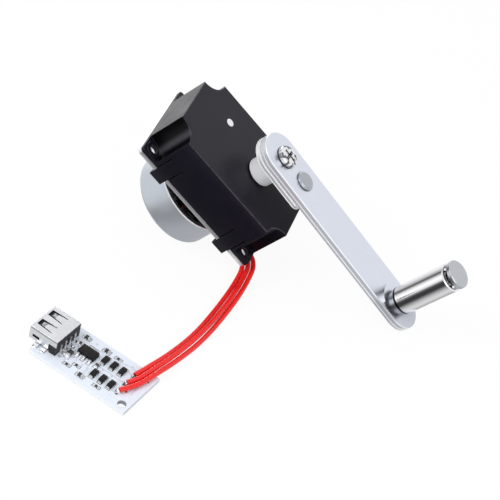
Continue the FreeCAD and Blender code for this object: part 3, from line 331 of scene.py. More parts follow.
# gearbox housing: black moulded plastic
housingLook = {
    "colour": (0.0080, 0.0064, 0.0136),
    "gloss": 0.235,
    "roughness": (0.33, 0.46),
    "grain": 0.14,              # mm, spark-eroded mould texture
    "grainDepth": 0.010,
    "flow": 9.0,                # mm, broad flow marks
    # wear and painted highlight on the rounded edges and bends
    "wearAndSheen": (0.052, 0.049, 0.060),
    "middle": 0.2,              # mm along the housing
    "half": (28.0, 18.6),
    "scallop": 7.2,             # radius of the corners' hollows
    "earLevel": 20.6,           # they end on the screw ears
    # painted shade in the corners' hollows
    "deep": (0.003, 0.0028, 0.004),
    # painted highlight streak across them
    "scallopHighlight": (0.042, 0.040, 0.047),
    "lowerEnd": 0.6,            # how much weaker the scallops' painted shade is there
}


def makeBlackNylon():
    look = housingLook
    finish = Finish("blackNylon", look["colour"], gloss=look["gloss"])
    where = finish.along(machine)
    x, y, z = finish.axes(where)
    flow = finish.noise(where, look["flow"], 3.0, 0.6)
    grain = finish.noise(where, look["grain"], 4.0, 0.65)
    pits = finish.cells(where, look["grain"] * 2)
    rounded = finish.rounded(0.35)
    # rounded edges and upward bends lighter, as wear and as a painted highlight
    upward = finish.facing(rotorAxis)
    bends = upward.spread(0.1, 0.4) * (1 - upward.spread(0.86, 0.97))
    rubAndSheen = (finish.edges(rounded) * 0.5 + bends) * finish.noise(where, 1.7).spread(0.2, 0.6)
    halfLength, halfWidth = look["half"]
    fromEnd = halfLength - (x - look["middle"]).size()
    fromSide = halfWidth - y.size()
    # the corners' hollows get painted shade and a painted highlight streak; Metallic deepens the painted shade
    onWall = 1 - (reach(fromEnd, fromSide) - look["scallop"]).size().over(0.4)
    scallop = onWall * z.over(look["earLevel"])
    share = fromSide / look["scallop"]
    scallopHighlight = share.spread(0.34, 0.62) * (1 - share.spread(0.64, 0.86))
    lip = 1 - share.spread(0.04, 0.20)
    deep = scallop * (1 - scallopHighlight.largest(lip)) * (1 - x.over(0) * look["lowerEnd"])
    body = finish.mix(deep, finish.shade(flow, 0.82, 1.18), look["deep"])
    body = finish.mix(scallop * scallopHighlight, body, look["scallopHighlight"])
    dull = (flow * 0.5 + grain * 0.5).between(*look["roughness"])
    finish.paint(finish.mix(rubAndSheen * 0.8, body, look["wearAndSheen"]), dull)
    finish.feed("Metallic", deep * 0.6)
    finish.relief(grain * 0.7 + pits * 0.3, look["grainDepth"], rounded, 0.6)


cupLook = {
    "colour": (0.55, 0.585, 0.635),
    "roughness": (0.30, 0.42),
    "bright": (0.95, 0.96, 0.97),       # painted highlight on the edges and the rim
    "dark": (0.04, 0.04, 0.045),        # painted shade on the inner half of the rim
    "rim": (11.95, 12.2, 16.3),         # mm, its levels and inner radius
    "rimShade": (12.1, 16.72),
}


def makeSatinCup():
    look = cupLook
    finish = Finish("satinCup", look["colour"])
    where, radius, level, rings = turned(finish, machine)
    cloud = finish.noise(where, 7.0, 3.0)
    rounded = finish.rounded(0.35)
    edges = finish.edges(rounded)
    low, high, inner = look["rim"]
    # painted highlight on the edges and the rim, made less metallic so that it reads white
    rim = level.spread(low, high) * radius.over(inner)
    body = finish.shade(rings * 0.5 + cloud * 0.5, 0.9, 1.08)
    body = finish.mix(edges.largest(rim), body, look["bright"])
    # painted shade on the rim's inner half
    low, outer = look["rimShade"]
    lip = level.over(low) * (1 - radius.over(outer))
    dull = cloud.between(*look["roughness"]) - edges * 0.12
    finish.paint(finish.mix(lip, body, look["dark"]), dull)
    finish.feed("Metallic", 1 - rim * 0.85)
    finish.relief(rings, 0.003, rounded, 0.5)


# turned pieces: frame, colour, roughness, metallic, and where painted shade lies on one, broken by painted glints:
# two levels and the outer radius in mm
turnedLooks = {
    "hubSteel": (crank, (0.90, 0.91, 0.94), (0.38, 0.5), 0.1),
    "rivetSteel": (crank, (0.41, 0.43, 0.47), (0.2, 0.32), 1.0, (49.3, 49.6, 20)),
    "washerSteel": (handle, (0.66, 0.67, 0.70), (0.14, 0.26), 1.0, (50.35, 51.0, 20)),
    "capSteel": (handle, (0.49, 0.505, 0.54), (0.16, 0.30), 1.0, (73.2, 74.85, 4.0)),
    "groundSteel": (machine, (0.62, 0.63, 0.66), (0.16, 0.28)),
    "turnedAluminium": (machine, (0.66, 0.67, 0.70), (0.26, 0.42)),
}
paintedShadeColour = (0.03, 0.03, 0.033)


def makeTurned(name, place, colour, roughness, metallic=1.0, paintedShade=None):
    finish = Finish(name, colour, metallic)
    where, radius, level, rings = turned(finish, place)
    body = finish.shade(rings * 0.5 + finish.noise(where, 4.0) * 0.5, 0.92, 1.05)
    if paintedShade:
        # a band of painted shade, broken by painted glints
        bottom, top, size = paintedShade
        flecks = finish.noise(where, 0.9, 1.0).spread(0.5, 0.62)
        dark = level.within(bottom, top) * (1 - radius.over(size)) * (1 - flecks * 0.8)
        body = finish.mix(dark, body, paintedShadeColour)
    finish.paint(body, rings.between(*roughness))
    finish.relief(rings, 0.003, finish.rounded(0.12), 0.5)


# crank arm: satin plated flat bar
armLook = {
    "colour": (0.70, 0.73, 0.81),
    "roughness": (0.24, 0.36),
    "side": (46.2, 47.5, 49.4),         # mm, foot, smooth line and top of the sheared side
    "cut": (0.40, 0.415, 0.45),         # its torn bands
    "bright": (0.80, 0.82, 0.86),       # its smooth lines
    "brushing": (0.35, 3.0, 0.7, (0.05, 2.4, 2.4)),
    "tip": 67.5,                        # mm, from here on less metallic: a painted lighter tip, clear of the sleeve's mirror image
    "heads": [(0.0, 4.0), (10.7, 3.5)],     # mm along the arm, radius of what sits on it
    # dark line about each head: dirt and painted contact shade
    "joint": (0.10, 0.10, 0.11),
}
bracketLook = {
    "colour": (0.96, 0.97, 0.99),
    "roughness": (0.34, 0.48),
    "side": (44.4, 44.6, 46.2),
    "torn": (0.5, 3.0, 0.7, (3.0, 3.0, 0.4)),
}


def sheared(finish, level, low, middle, high):  # 1 on the torn bands of a punched side
    line = level.spread(middle - 0.35, middle - 0.1)
    line = line * (1 - level.spread(middle + 0.1, middle + 0.35))
    foot = 1 - level.spread(low + 0.15, low + 0.5)
    ends = foot.largest(level.spread(high - 0.6, high - 0.3))
    squarely = finish.facing((0, -1, 0)).spread(0.55, 0.97)
    return squarely * (1 - line.largest(ends))


def makeSatinArm():
    look = armLook
    finish = Finish("satinArm", look["colour"])
    where = finish.along(crank)
    x, y, z = finish.axes(where)
    brushed = finish.noise(where, *look["brushing"])
    cloud = finish.noise(where, 12.0, 3.0)
    face = finish.shade(cloud * 0.7 + brushed * 0.3, 0.93, 1.05)
    for along, size in look["heads"]:               # dark line about each head: dirt and painted contact shade
        joint = 1 - (reach(x - along, y) - size - 0.12).size().spread(0.08, 0.34)
        face = finish.mix(joint * 0.5, face, look["joint"])
    side = 1 - finish.facing(rotorAxis).size().spread(0.45, 0.8)
    cut = finish.mix(sheared(finish, z, *look["side"]), look["bright"], look["cut"])
    tip = x.spread(look["tip"], look["tip"] + 2.5)
    dull = (cloud * 0.6 + brushed * 0.4).between(*look["roughness"])
    finish.paint(finish.mix(side, face, cut), dull)
    # the tip is made less metallic so that it reads lighter, as painted light
    finish.feed("Metallic", (1 - side * 0.8) * (1 - tip * 0.75))
    finish.relief(brushed, 0.0025, finish.rounded(0.15), 0.4)


def makeBracketSteel():
    look = bracketLook
    finish = Finish("bracketSteel", look["colour"], 0.1)
    where = finish.along(crank)
    level = finish.axes(where)[2]
    torn = finish.noise(where, *look["torn"])
    body = finish.shade(finish.noise(where, 5.0, 3.0) * 0.5 + torn * 0.5, 0.93, 1.06)
    cut = sheared(finish, level, *look["side"])
    finish.paint(finish.mix(cut, body, armLook["cut"]), torn.between(*look["roughness"]))
    finish.relief(torn, 0.003, finish.rounded(0.15), 0.5)


sleeveLook = {
    "colour": (0.83, 0.83, 0.85),
    "dark": (0.02, 0.02, 0.022),
    "roughness": (0.09, 0.14),
    "foot": (51.8, 52.1),               # mm, painted shade below
    "mouth": (72.9, 73.2),              # painted shade above, around the pin
    "bore": (4.3, 4.7),
}


def makeChrome():
    look = sleeveLook
    finish = Finish("chromeSleeve", look["colour"], 1.0)
    where, radius, level, rings = turned(finish, handle)
    smudge = finish.noise(where, 3.5, 3.0)
    mouth = level.spread(*look["mouth"]) * (1 - radius.spread(*look["bore"]))
    # painted shade at both ends of the sleeve
    ends = (1 - level.spread(*look["foot"])).largest(mouth)
    body = finish.shade(smudge, 0.95, 1.03)
    dull = (smudge * 0.7 + rings * 0.3).between(*look["roughness"])
    finish.paint(finish.mix(ends, body, look["dark"]), dull)
    finish.relief(rings, 0.0006, finish.rounded(0.1), 0.3)


screwLook = {
    "colour": (0.80, 0.80, 0.82),
    "dark": (0.02, 0.02, 0.022),
    "roughness": (0.1, 0.2),
    "slot": (0.42, 2.35, 49.9),     # mm, half width and half length of the cross, its floor
    "seat": (49.62, 49.92, 3.0),    # levels up to which the rim gets painted shade
    # painted dark reflections on the head's slope
    "darkReflection": (1.5, 1.0, 0.5, (0.8, 0.8, 0.3)),
}


def makeScrewChrome():
    look = screwLook
    finish = Finish("chromeScrew", look["colour"], 1.0)
    where, radius, level, rings = turned(finish, crank)
    x, y = finish.axes(where)[:2]
    wide, long, bottom = look["slot"]
    # painted shade in the cross recess and at the seat
    cross = (1 - x.size().over(wide)).largest(1 - y.size().over(wide))
    cross = cross * (1 - radius.over(long)) * level.over(bottom)
    low, high, inner = look["seat"]
    seat = (1 - level.spread(low, high)) * radius.over(inner)
    # painted dark reflections on the outer part of the head
    darkReflection = finish.noise(where, *look["darkReflection"]).spread(0.5, 0.6) * radius.spread(1.6, 2.6)
    dark = cross.largest(seat).largest(darkReflection * 0.85)
    body = finish.mix(dark, finish.shade(rings, 0.92, 1.05), look["dark"])
    finish.paint(body, rings.between(*look["roughness"]))
    finish.relief(rings, 0.0006, finish.rounded(0.1), 0.3)


coreLook = {"colour": (0.24, 0.24, 0.26), "roughness": (0.35, 0.7), "sheet": 0.5}     # mm


def makeLaminations():
    look = coreLook
    finish = Finish("siliconSteel", look["colour"], 1.0)
    level = finish.axes(finish.along(machine))[2] * (1 / look["sheet"])
    gap = level.math("FRACT", level).spread(0.80, 0.96)
    finish.paint(finish.shade(1 - gap, 0.35, 1.1), gap.spread(0, 1, *look["roughness"]))
    finish.relief(1 - gap, 0.02)


# plain finishes: tone is the noise of the colour and shades its range, skin the noise or pores
# the cells of the relief, and edgeWear and edgePolish what rounded edges add to colour and gloss;
# each noise is its size in mm, detail, roughness and stretch
sintered = {
    "place": machine, "metallic": 1.0, "tone": (2.0, 3.0), "pores": 0.15,
    "roughness": (0.3, 0.5), "depth": 0.005,
}
tin = {
    "place": board, "metallic": 1.0, "tone": (1.6, 4.0, 0.6), "shades": (0.86, 1.06),
    "skin": (0.4, 2.0, 0.5, (0.15, 2.0, 2.0)), "depth": 0.003,
}
ceramic = {
    "place": board, "tone": (1.0,), "shades": (0.75, 1.25), "skin": (0.12, 3.0, 0.7),
    "skinInColour": 0.6, "skinInGloss": 1, "roughness": (0.38, 0.55), "depth": 0.004,
}
moulded = {
    "place": board, "gloss": 0.2, "tone": (2.0,), "shades": (0.8, 1.6), "edgeWear": 0.5,
    "skin": (0.08, 3.0, 0.6), "skinInGloss": 1, "depth": 0.006, "rounding": 0.1,
}
plainLooks = {
    "platedSheet": {
        "place": machine, "colour": (0.84, 0.85, 0.88), "metallic": 1.0, "tone": (6.0, 3.0),
        "shades": (0.88, 1.08), "roughness": (0.24, 0.40), "skinInColour": 0.4, "skinInGloss": 1,
        "skin": (0.3, 3.0, 0.7, (0.06, 2.0, 2.0)),      # drawn out along the sheet
        "depth": 0.004, "rounding": 0.15, "edgePolish": 0.08, "strength": 0.5,
    },
    "sinteredSteel": {
        **sintered, "colour": (0.30, 0.30, 0.32), "tone": (3.0, 3.0), "shades": (0.75, 1.15),
        "roughness": (0.28, 0.5), "from": (0.35, 0.65), "pores": 0.18, "depth": 0.006,
    },
    "sinteredBronze": {**sintered, "colour": (0.48, 0.30, 0.13), "shades": (0.7, 1.2)},
    "naturalAcetal": {
        "place": machine, "colour": (0.86, 0.87, 0.90), "tone": (2.5, 3.0), "shades": (0.93, 1.05),
        "roughness": (0.26, 0.4), "skin": (0.2,), "depth": 0.003, "rounding": 0.1,
    },
    "nickelMagnet": {
        "place": machine, "colour": (0.16, 0.16, 0.18), "metallic": 0.8, "tone": (4.0,),
        "shades": (0.8, 1.2), "roughness": (0.32, 0.5), "skin": (0.3, 4.0, 0.7),
        "skinInGloss": 1, "depth": 0.005,
    },
    "enamelledCopper": {
        "place": machine, "colour": (0.24, 0.11, 0.06), "metallic": 0.85, "tone": (1.2,),
        "shades": (0.75, 1.2), "roughness": (0.2, 0.36), "skin": (0.1,), "depth": 0.003,
    },
    "shrinkSleeving": {
        "place": machine, "colour": (0.018, 0.018, 0.019), "shades": (0.8, 1.4),
        "tone": (0.4, 3.0, 0.5, (0.4, 1.0, 1.0)), "roughness": (0.45, 0.65), "depth": 0.02,
    },
    "redSilicone": {
        "place": board, "colour": (0.86, 0.016, 0.015), "tone": (6.0, 3.0), "shades": (0.88, 1.1),
        "roughness": (0.17, 0.28), "skin": (0.25, 3.0), "skinInGloss": 0.5, "depth": 0.006,
    },
    "chipBlack": {**moulded, "colour": (0.0085, 0.008, 0.009), "roughness": (0.42, 0.6)},
    "insulatorBlack": {**moulded, "colour": (0.022, 0.018, 0.020), "roughness": (0.35, 0.5)},
    "chipTin": {**tin, "colour": (0.70, 0.71, 0.73), "roughness": (0.2, 0.36)},
    "tinnedPad": {**tin, "colour": (0.76, 0.77, 0.80), "roughness": (0.24, 0.4)},
    "capacitorClay": {**ceramic, "colour": (0.035, 0.033, 0.036)},
    # dark rim around each pad: painted shade along its solder fillet
    "padShade": {**ceramic, "colour": (0.11, 0.11, 0.13)},
    "resistorGlaze": {**ceramic, "colour": (0.03, 0.03, 0.035)},
    "printedWhite": {**ceramic, "colour": (0.70, 0.68, 0.60)},
    "trackResist": {**ceramic, "colour": (0.66, 0.72, 0.85)},
}


def makePlain(name, look):
    finish = Finish(name, look["colour"], look.get("metallic", 0.0), look.get("gloss", 0.5))
    where = finish.along(look["place"])
    tone = skin = finish.noise(where, *look["tone"])
    if "pores" in look:
        skin = finish.cells(where, look["pores"]).spread(0.1, 0.5)
    elif "skin" in look:
        skin = finish.noise(where, *look["skin"])

    shares = look.get("skinInColour", 0), look.get("skinInGloss", 0)
    colour, gloss = [tone * (1 - share) + skin * share for share in shares]
    dull = gloss.spread(*look.get("from", (0.3, 0.7)), *look["roughness"])
    rounded = None
    if "rounding" in look:
        rounded = finish.rounded(look["rounding"])
        edges = finish.edges(rounded)
        wear = look.get("edgeWear", 0)
        colour = colour * (1 - wear) + edges * wear
        dull = dull - edges * look.get("edgePolish", 0)
    finish.paint(finish.shade(colour, *look["shades"]), dull)
    finish.relief(skin, look["depth"], rounded, look.get("strength", 1.0))


boardLook = {
    "resist": (0.80, 0.86, 0.97),
    "edge": (0.84, 0.87, 0.91),
    "layer": (0.76, 0.79, 0.80),
    "end": (0.62, 0.65, 0.70),
    "hole": (0.36, 0.38, 0.42),
    "holeReach": 1.7,       # mm
    "weave": 0.5,           # mm, glass cloth under the resist
}


def makeWhiteResist():
    look = boardLook
    finish = Finish("whiteResist", look["resist"])
    where = finish.along(board)
    x, y, z = finish.axes(where)
    turns = 2 * math.pi / look["weave"]
    weave = (x * turns).sine() * (y * turns).sine()
    cloud = finish.noise(where, 5.0, 3.0)
    side = 1 - finish.facing((0, 0, 1)).size().over(0.5)
    layers = (z * 4.2).sine().spread(-1, 1, 0.0, 0.5)
    end = finish.facing(boardAlong).spread(0.5, 0.9)
    drilled = 1 - reach(x - boardHole[0], y - boardHole[1]).over(look["holeReach"])
    cut = finish.mix(end, finish.mix(layers, look["edge"], look["layer"]), look["end"])
    cut = finish.mix(drilled, cut, look["hole"])
    body = finish.mix(side, finish.shade(cloud, 0.94, 1.04), cut)
    finish.paint(body, side * 0.35 + cloud * 0.14 + 0.24)
    finish.relief(weave * 0.5 + cloud, 0.006)


shineLook = {
    "colour": (0.78, 0.79, 0.81),
    # painted dark reflection
    "dark": (0.03, 0.035, 0.045),
    "roughness": (0.14, 0.28),
    "places": (1.1, 1.0, 0.5, (1.0, 1.0, 1.6)),
}


def makeSolderShine():  # with painted dark reflections, the dark places that a small round surface mirrors
    look = shineLook
    finish = Finish("solderShine", look["colour"], 1.0)
    where = finish.along(board)
    dull = finish.noise(where, 0.7)
    paintedReflection = finish.noise(where, *look["places"]).spread(0.5, 0.57) * 0.9
    body = finish.mix(paintedReflection, finish.shade(dull, 0.9, 1.05), look["dark"])
    finish.paint(body, dull.between(*look["roughness"]))
    finish.relief(dull, 0.02)


socketLook = {
    "colour": (0.715, 0.72, 0.745),
    "roughness": (0.24, 0.38),
    # painted shade on the sides
    "side": (0.62, 0.63, 0.64),
    # painted shade on the rounded bends
    "corner": (0.30, 0.305, 0.31),
    # painted shade in the slots, the inside and the side opening
    "shade": (0.016, 0.016, 0.018),
    # painted shade on the fingers' bent tips
    "tip": (0.20, 0.20, 0.21),
    "drawing": (0.4, 3.0, 0.6, (0.12, 2.0, 2.0)),
    "nose": -2.1,                       # mm on the board, where the fingers' slots begin
    "slotLength": 5.7,
    "top": 7.5,
    "fingers": (7.3, 12.9),
    "inside": (3.9, 16.3, 2.4, 7.4),    # mm, walls, floor and roof of the inside, which gets painted shade
    "sideSlot": (-1.9, 0.9, 3.9, 5.05, 4.2),
}


def fingerSlots(x, y, middle):  # masks of the slots around a spring finger and of its tip, where shade is painted
    nose, length = socketLook["nose"], socketLook["slotLength"]
    share = (x - nose) / length
    half = share * 0.5 + 1.05
    away = y - middle
    right = 1 - (away - half).size().over(0.46 - share * 0.34)
    left = 1 - (away + half).size().over(0.32 - share * 0.22)
    front = x.within(nose - 0.35, nose + 1.0) * (1 - away.size().over(1.35))
    slots = (right.largest(left) * x.within(nose - 0.3, nose + length)).largest(front)
    return slots, (1 - away.size().over(half)) * x.within(nose, nose + 2.5)


def makeSocketTin():
    look = socketLook
    finish = Finish("socketTin", look["colour"], 1.0)
    where = finish.along(board)
    x, y, z = finish.axes(where)
    dull = finish.noise(where, 2.2, 4.0, 0.6)
    drawn = finish.noise(where, *look["drawing"])
    tipShadeBreakup = finish.noise(where, 0.8, 1.0).spread(0.46, 0.56)
    (slots, tips), (otherSlots, otherTips) = [
        fingerSlots(x, y, middle) for middle in look["fingers"]]
    top = z.over(look["top"])
    left, right, low, high = look["inside"]
    inside = y.within(left, right) * z.within(low, high)
    start, stop, low, high, wall = look["sideSlot"]
    opening = x.within(start, stop) * z.within(low, high) * (1 - y.over(wall))
    upward = finish.facing((0, 0, 1))
    corner = upward.spread(0.1, 0.4) * (1 - upward.spread(0.9, 0.98))
    # painted shade in the slots, the inside and the side opening
    dark = (slots.largest(otherSlots) * top).largest(inside).largest(opening)
    tone = finish.shade(dull * 0.6 + drawn * 0.4, 0.9, 1.07)
    # sides and rounded bends darker as painted shade
    tone = finish.mix(1 - upward.spread(0.7, 0.97), tone, look["side"])
    tone = finish.mix(corner, tone, look["corner"])
    # painted shade on the bent finger tips, broken up by noise
    tone = finish.mix(tips.largest(otherTips) * top * (0.35 + tipShadeBreakup * 0.6), tone, look["tip"])
    finish.paint(finish.mix(dark, tone, look["shade"]), dull.between(*look["roughness"]))
    finish.relief(drawn, 0.006, finish.rounded(0.12), 0.8)


makeBlackNylon()
makeSatinCup()
makeSatinArm()
makeBracketSteel()
makeChrome()
makeScrewChrome()
makeLaminations()
makeWhiteResist()
makeSolderShine()
makeSocketTin()
for name, look in turnedLooks.items():
    makeTurned(name, *look)
for name, look in plainLooks.items():
    makePlain(name, look)

nodeFinishes = {
    "blackNylon": ["gearbox_housing"], "platedSheet": ["base_plate"], "satinCup": ["rotor_cup"],
    "naturalAcetal": ["idler_axle", "idler_wheel"],
    "sinteredBronze": ["output_bush", "foot_bush"],
    "sinteredSteel": ["rotor_pinion", "idler_pinion", "output_gear", "output_shaft"],
    "groundSteel": ["rotor_bearings", "holder_screws", "rotor_shaft"],
    "turnedAluminium": ["stator_holder", "bearing_spacer"],
    "siliconSteel": ["stator_core"], "enamelledCopper": ["stator_windings"],
    "shrinkSleeving": ["lead_sleeves"], "nickelMagnet": ["magnet_ring"],
    "hubSteel": ["crank_hub"], "bracketSteel": ["crank_bracket"], "satinArm": ["crank_arm"],
    "chromeScrew": ["crank_screw"], "rivetSteel": ["crank_rivet"], "capSteel": ["handle_pin"],
    "washerSteel": ["handle_washer"], "chromeSleeve": ["handle_sleeve"],
    "whiteResist": ["circuit_board"], "socketTin": ["usb_shell"],
    "insulatorBlack": ["usb_insulator"], "chipTin": ["usb_contacts"],
    "chipBlack": ["regulator", "rectifier_diodes"], "capacitorClay": ["capacitors"],
    "resistorGlaze": ["resistors"], "solderShine": ["solder_joints"],
    "redSilicone": ["wire_1", "wire_2", "wire_3"],
}
for finish, names in nodeFinishes.items():
    for name in names:
        for slot in nodes[name].material_slots:
            slot.material = finishes[finish]
for wire in redWires:
    wire.data.materials.append(finishes["redSilicone"])
print("finishes given")


def meshOf(name, shape, material):
    mesh = bpy.data.meshes.new(name)
    shape.to_mesh(mesh)
    shape.free()
    mesh.materials.append(material)
    return mesh


# small mesh tools; each works in a frame's own millimetres

def addPiece(name, shape, finish, replaced=None, place=board, smooth=30):
    shape.transform(place)
    bmesh.ops.recalc_face_normals(shape, faces=shape.faces)
    mesh = meshOf(name, shape, finishes[finish])
    piece = addObject(name, mesh)
    mesh.shade_smooth()
    if smooth < 180:
        mesh.set_sharp_from_angle(angle=math.radians(smooth))
    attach(piece, "generator")
    if replaced:
        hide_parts(replaced)


def addBlock(shape, centre, size, edge=0.0, taper=0.0, steps=2):  # a block with softened edges
    start = bmesh.ops.create_cube(shape, size=1)["verts"]
    for vert in start:
        shrink = 1 - taper if vert.co.z > 0 else 1
        vert.co = Vector((
            centre[0] + vert.co.x * size[0] * shrink,
            centre[1] + vert.co.y * size[1] * shrink,
            centre[2] + (vert.co.z + 0.5) * size[2],
        ))
    if edge:
        sides = list({line for vert in start for line in vert.link_edges})
        bmesh.ops.bevel(
            shape, geom=sides, offset=edge, segments=steps, affect="EDGES", profile=0.6)


def circle(steps):
    angles = [2 * math.pi * step / steps for step in range(steps)]
    return [(math.cos(angle), math.sin(angle)) for angle in angles]


def joinRings(shape, rings, closed=False, capped=False):
    following = rings[1:] + rings[:1] if closed else rings[1:]
    for first, second in zip(rings, following):
        for step in range(len(first)):
            after = (step + 1) % len(first)
            shape.faces.new((first[step], first[after], second[after], second[step]))
    if capped:
        shape.faces.new(reversed(rings[0]))
        shape.faces.new(rings[-1])


def addStrip(shape, path, width, thickness, centre, across=0):  # a bent strip, path in (along, up)
    rings = []
    for index, spot in enumerate(path):
        before = Vector(path[max(index - 1, 0)])
        after = Vector(path[min(index + 1, len(path) - 1)])
        way = (after - before).normalized()
        rise = Vector((-way.y, way.x)) * thickness / 2
        ring = []
        for side, lift in ((-1, -1), (1, -1), (1, 1), (-1, 1)):
            out, up = Vector(spot) + rise * lift
            place = Vector(centre) + Vector((out, out, up))
            place[across] = centre[across] + side * width / 2
            ring.append(shape.verts.new(place))
        rings.append(ring)
    joinRings(shape, rings, capped=True)


def addMound(shape, centre, across, profile):  # solder: rings of (share of size, height)
    rings = []
    for share, height in profile:
        rings.append([shape.verts.new((
            centre[0] + x * across[0] * share,
            centre[1] + y * across[1] * share,
            boardTop + height,
        )) for x, y in circle(20)])
    joinRings(shape, rings, capped=True)


def addLoop(shape, points, thickness):  # closed tube through points
    rings = []
    for index, point in enumerate(points):
        way = (points[(index + 1) % len(points)] - points[index - 1]).normalized()
        out = way.cross(Vector((1, 0, 0))).normalized()
        up = way.cross(out)
        rings.append([
            shape.verts.new(point + (out * x + up * y) * thickness / 2) for x, y in circle(6)])
    joinRings(shape, rings, closed=True)


# stator coils: nine bobbins of enamelled copper, wound turn by turn
coilTurns = {
    "coils": 9,
    "from": 7.95,          # mm from the rotor axis
    "to": 12.3,
    "wire": 0.46,
    "halfWidth": 1.95,
    "halfHeight": 4.12,
    "corner": 0.9,
    "level": 8.2,
    "slack": (-0.05, 0.03),
    "lean": 0.02,          # how far out a turn lies at its side
}


def makeCoils():
    look = coilTurns
    shape = bmesh.new()
    dice = random.Random(4)
    corner = look["corner"]
    for number in range(look["coils"]):
        start = len(shape.verts)
        for turn in range(int((look["to"] - look["from"]) / look["wire"])):
            out = look["from"] + (turn + 0.5) * look["wire"]
            slack = dice.uniform(*look["slack"])
            width, height = look["halfWidth"] + slack, look["halfHeight"] + slack
            points = []
            for side, top, begin in ((1, 1, 0), (-1, 1, 90), (-1, -1, 180), (1, -1, 270)):
                for step in range(5):
                    angle = math.radians(begin + step * 22.5)
                    y = side * (width - corner) + math.cos(angle) * corner
                    z = top * (height - corner) + math.sin(angle) * corner
                    points.append(Vector((out + y * look["lean"], y, look["level"] + z)))
            addLoop(shape, points, look["wire"])
        shape.verts.ensure_lookup_table()
        spin = Matrix.Rotation(2 * math.pi * number / look["coils"], 4, "Z")
        bmesh.ops.transform(shape, matrix=spin, verts=shape.verts[start:])
    addPiece("copper_coils", shape, "enamelledCopper", "stator_windings", machine, 180)


makeCoils()
print("coils wound")


# chips of the board, in mm along and across it
regulatorLook = {
    "centre": (15.1, 12.0),
    "body": (6.6, 3.7, 1.5),
    "lift": 0.12,
    "pins": (12.7, 15.1, 17.5),
    "pin": [(0.1, 0.7), (0.55, 0.68), (0.72, 0.5), (0.8, 0.2), (0.95, 0.09), (1.45, 0.09)],
    "tab": [(-0.2, 0.8), (0.25, 0.78), (0.5, 0.55), (0.62, 0.2), (0.8, 0.1), (1.75, 0.1)],
}


def makeRegulator():
    look = regulatorLook
    x, y = look["centre"]
    body, leads = bmesh.new(), bmesh.new()
    addBlock(body, (x, y, boardTop + look["lift"]), look["body"], 0.12, 0.04)
    addPiece("regulator_body", body, "chipBlack", "regulator")
    half = look["body"][1] / 2
    for pin in look["pins"]:
        path = [(-half - out, up) for out, up in look["pin"]]
        addStrip(leads, path, 0.72, 0.16, (pin, y, boardTop))
    path = [(half + out, up) for out, up in look["tab"]]
    addStrip(leads, path, 3.0, 0.2, (x, y, boardTop))
    addPiece("regulator_leads", leads, "chipTin")


diodeLook = {
    "centres": [(20.9, 13.7), (24.4, 13.7), (27.9, 13.7), (21.7, 6.5), (25.2, 6.5), (28.6, 6.5)],
    "body": (1.9, 3.1, 1.05),
    "lead": [(-0.1, 0.5), (0.12, 0.48), (0.2, 0.3), (0.24, 0.12), (0.12, 0.07), (-0.35, 0.07)],
}


def makeDiodes():
    look = diodeLook
    bodies, leads, bands = bmesh.new(), bmesh.new(), bmesh.new()
    wide, long, tall = look["body"]
    for x, y in look["centres"]:
        addBlock(bodies, (x, y, boardTop + 0.12), look["body"], 0.1, 0.08)
        band = (x, y + long * 0.33, boardTop + 0.13 + tall)
        addBlock(bands, band, (wide * 0.84, 0.34, 0.012))
        for side in (-1, 1):
            path = [(side * (long / 2 + out), up) for out, up in look["lead"]]
            addStrip(leads, path, 1.2, 0.12, (x, y, boardTop))
    addPiece("diode_bodies", bodies, "chipBlack", "rectifier_diodes")
    addPiece("diode_leads", leads, "chipTin")
    addPiece("diode_bands", bands, "resistorGlaze")


capacitorLook = [
    ((10.7, 7.8), (1.6, 3.1, 1.3)), ((18.8, 2.7), (2.0, 1.2, 0.9)), ((18.8, 17.4), (2.0, 1.2, 0.9)),
    ((10.4, 17.6), (2.0, 1.2, 0.9)), ((20.2, 9.9), (1.2, 1.7, 0.8)),
]
resistorLook = {
    "centres": [(12.8, 3.5), (10.3, 14.3), (25.5, 2.7), (15.4, 5.4), (23.6, 17.4)],
    "body": (1.6, 0.8, 0.42),
}
endCapped = {       # share of the chip's length, width and height, and where along it
    "middle": ((0.62, 0.96, 0.97), (0,)),
    "ends": ((0.2, 1, 1), (-0.4, 0.4)),
    "lift": 0.03,
    "edge": 0.05,
}


def makeEndCapped(name, chips, finish, replaced):
    bodies, ends = bmesh.new(), bmesh.new()
    for (x, y), size in chips:
        lies = 1 if size[1] > size[0] else 0        # across the board, or along it
        for shape, part in ((bodies, "middle"), (ends, "ends")):
            (long, wide, tall), shifts = endCapped[part]
            box = [size[0] * wide, size[1] * wide, size[2] * tall]
            box[lies] = size[lies] * long
            for shift in shifts:
                centre = [x, y, boardTop + endCapped["lift"]]
                centre[lies] += size[lies] * shift
                addBlock(shape, centre, box, endCapped["edge"])
    addPiece(name, bodies, finish, replaced)
    addPiece(name + "_ends", ends, "chipTin")


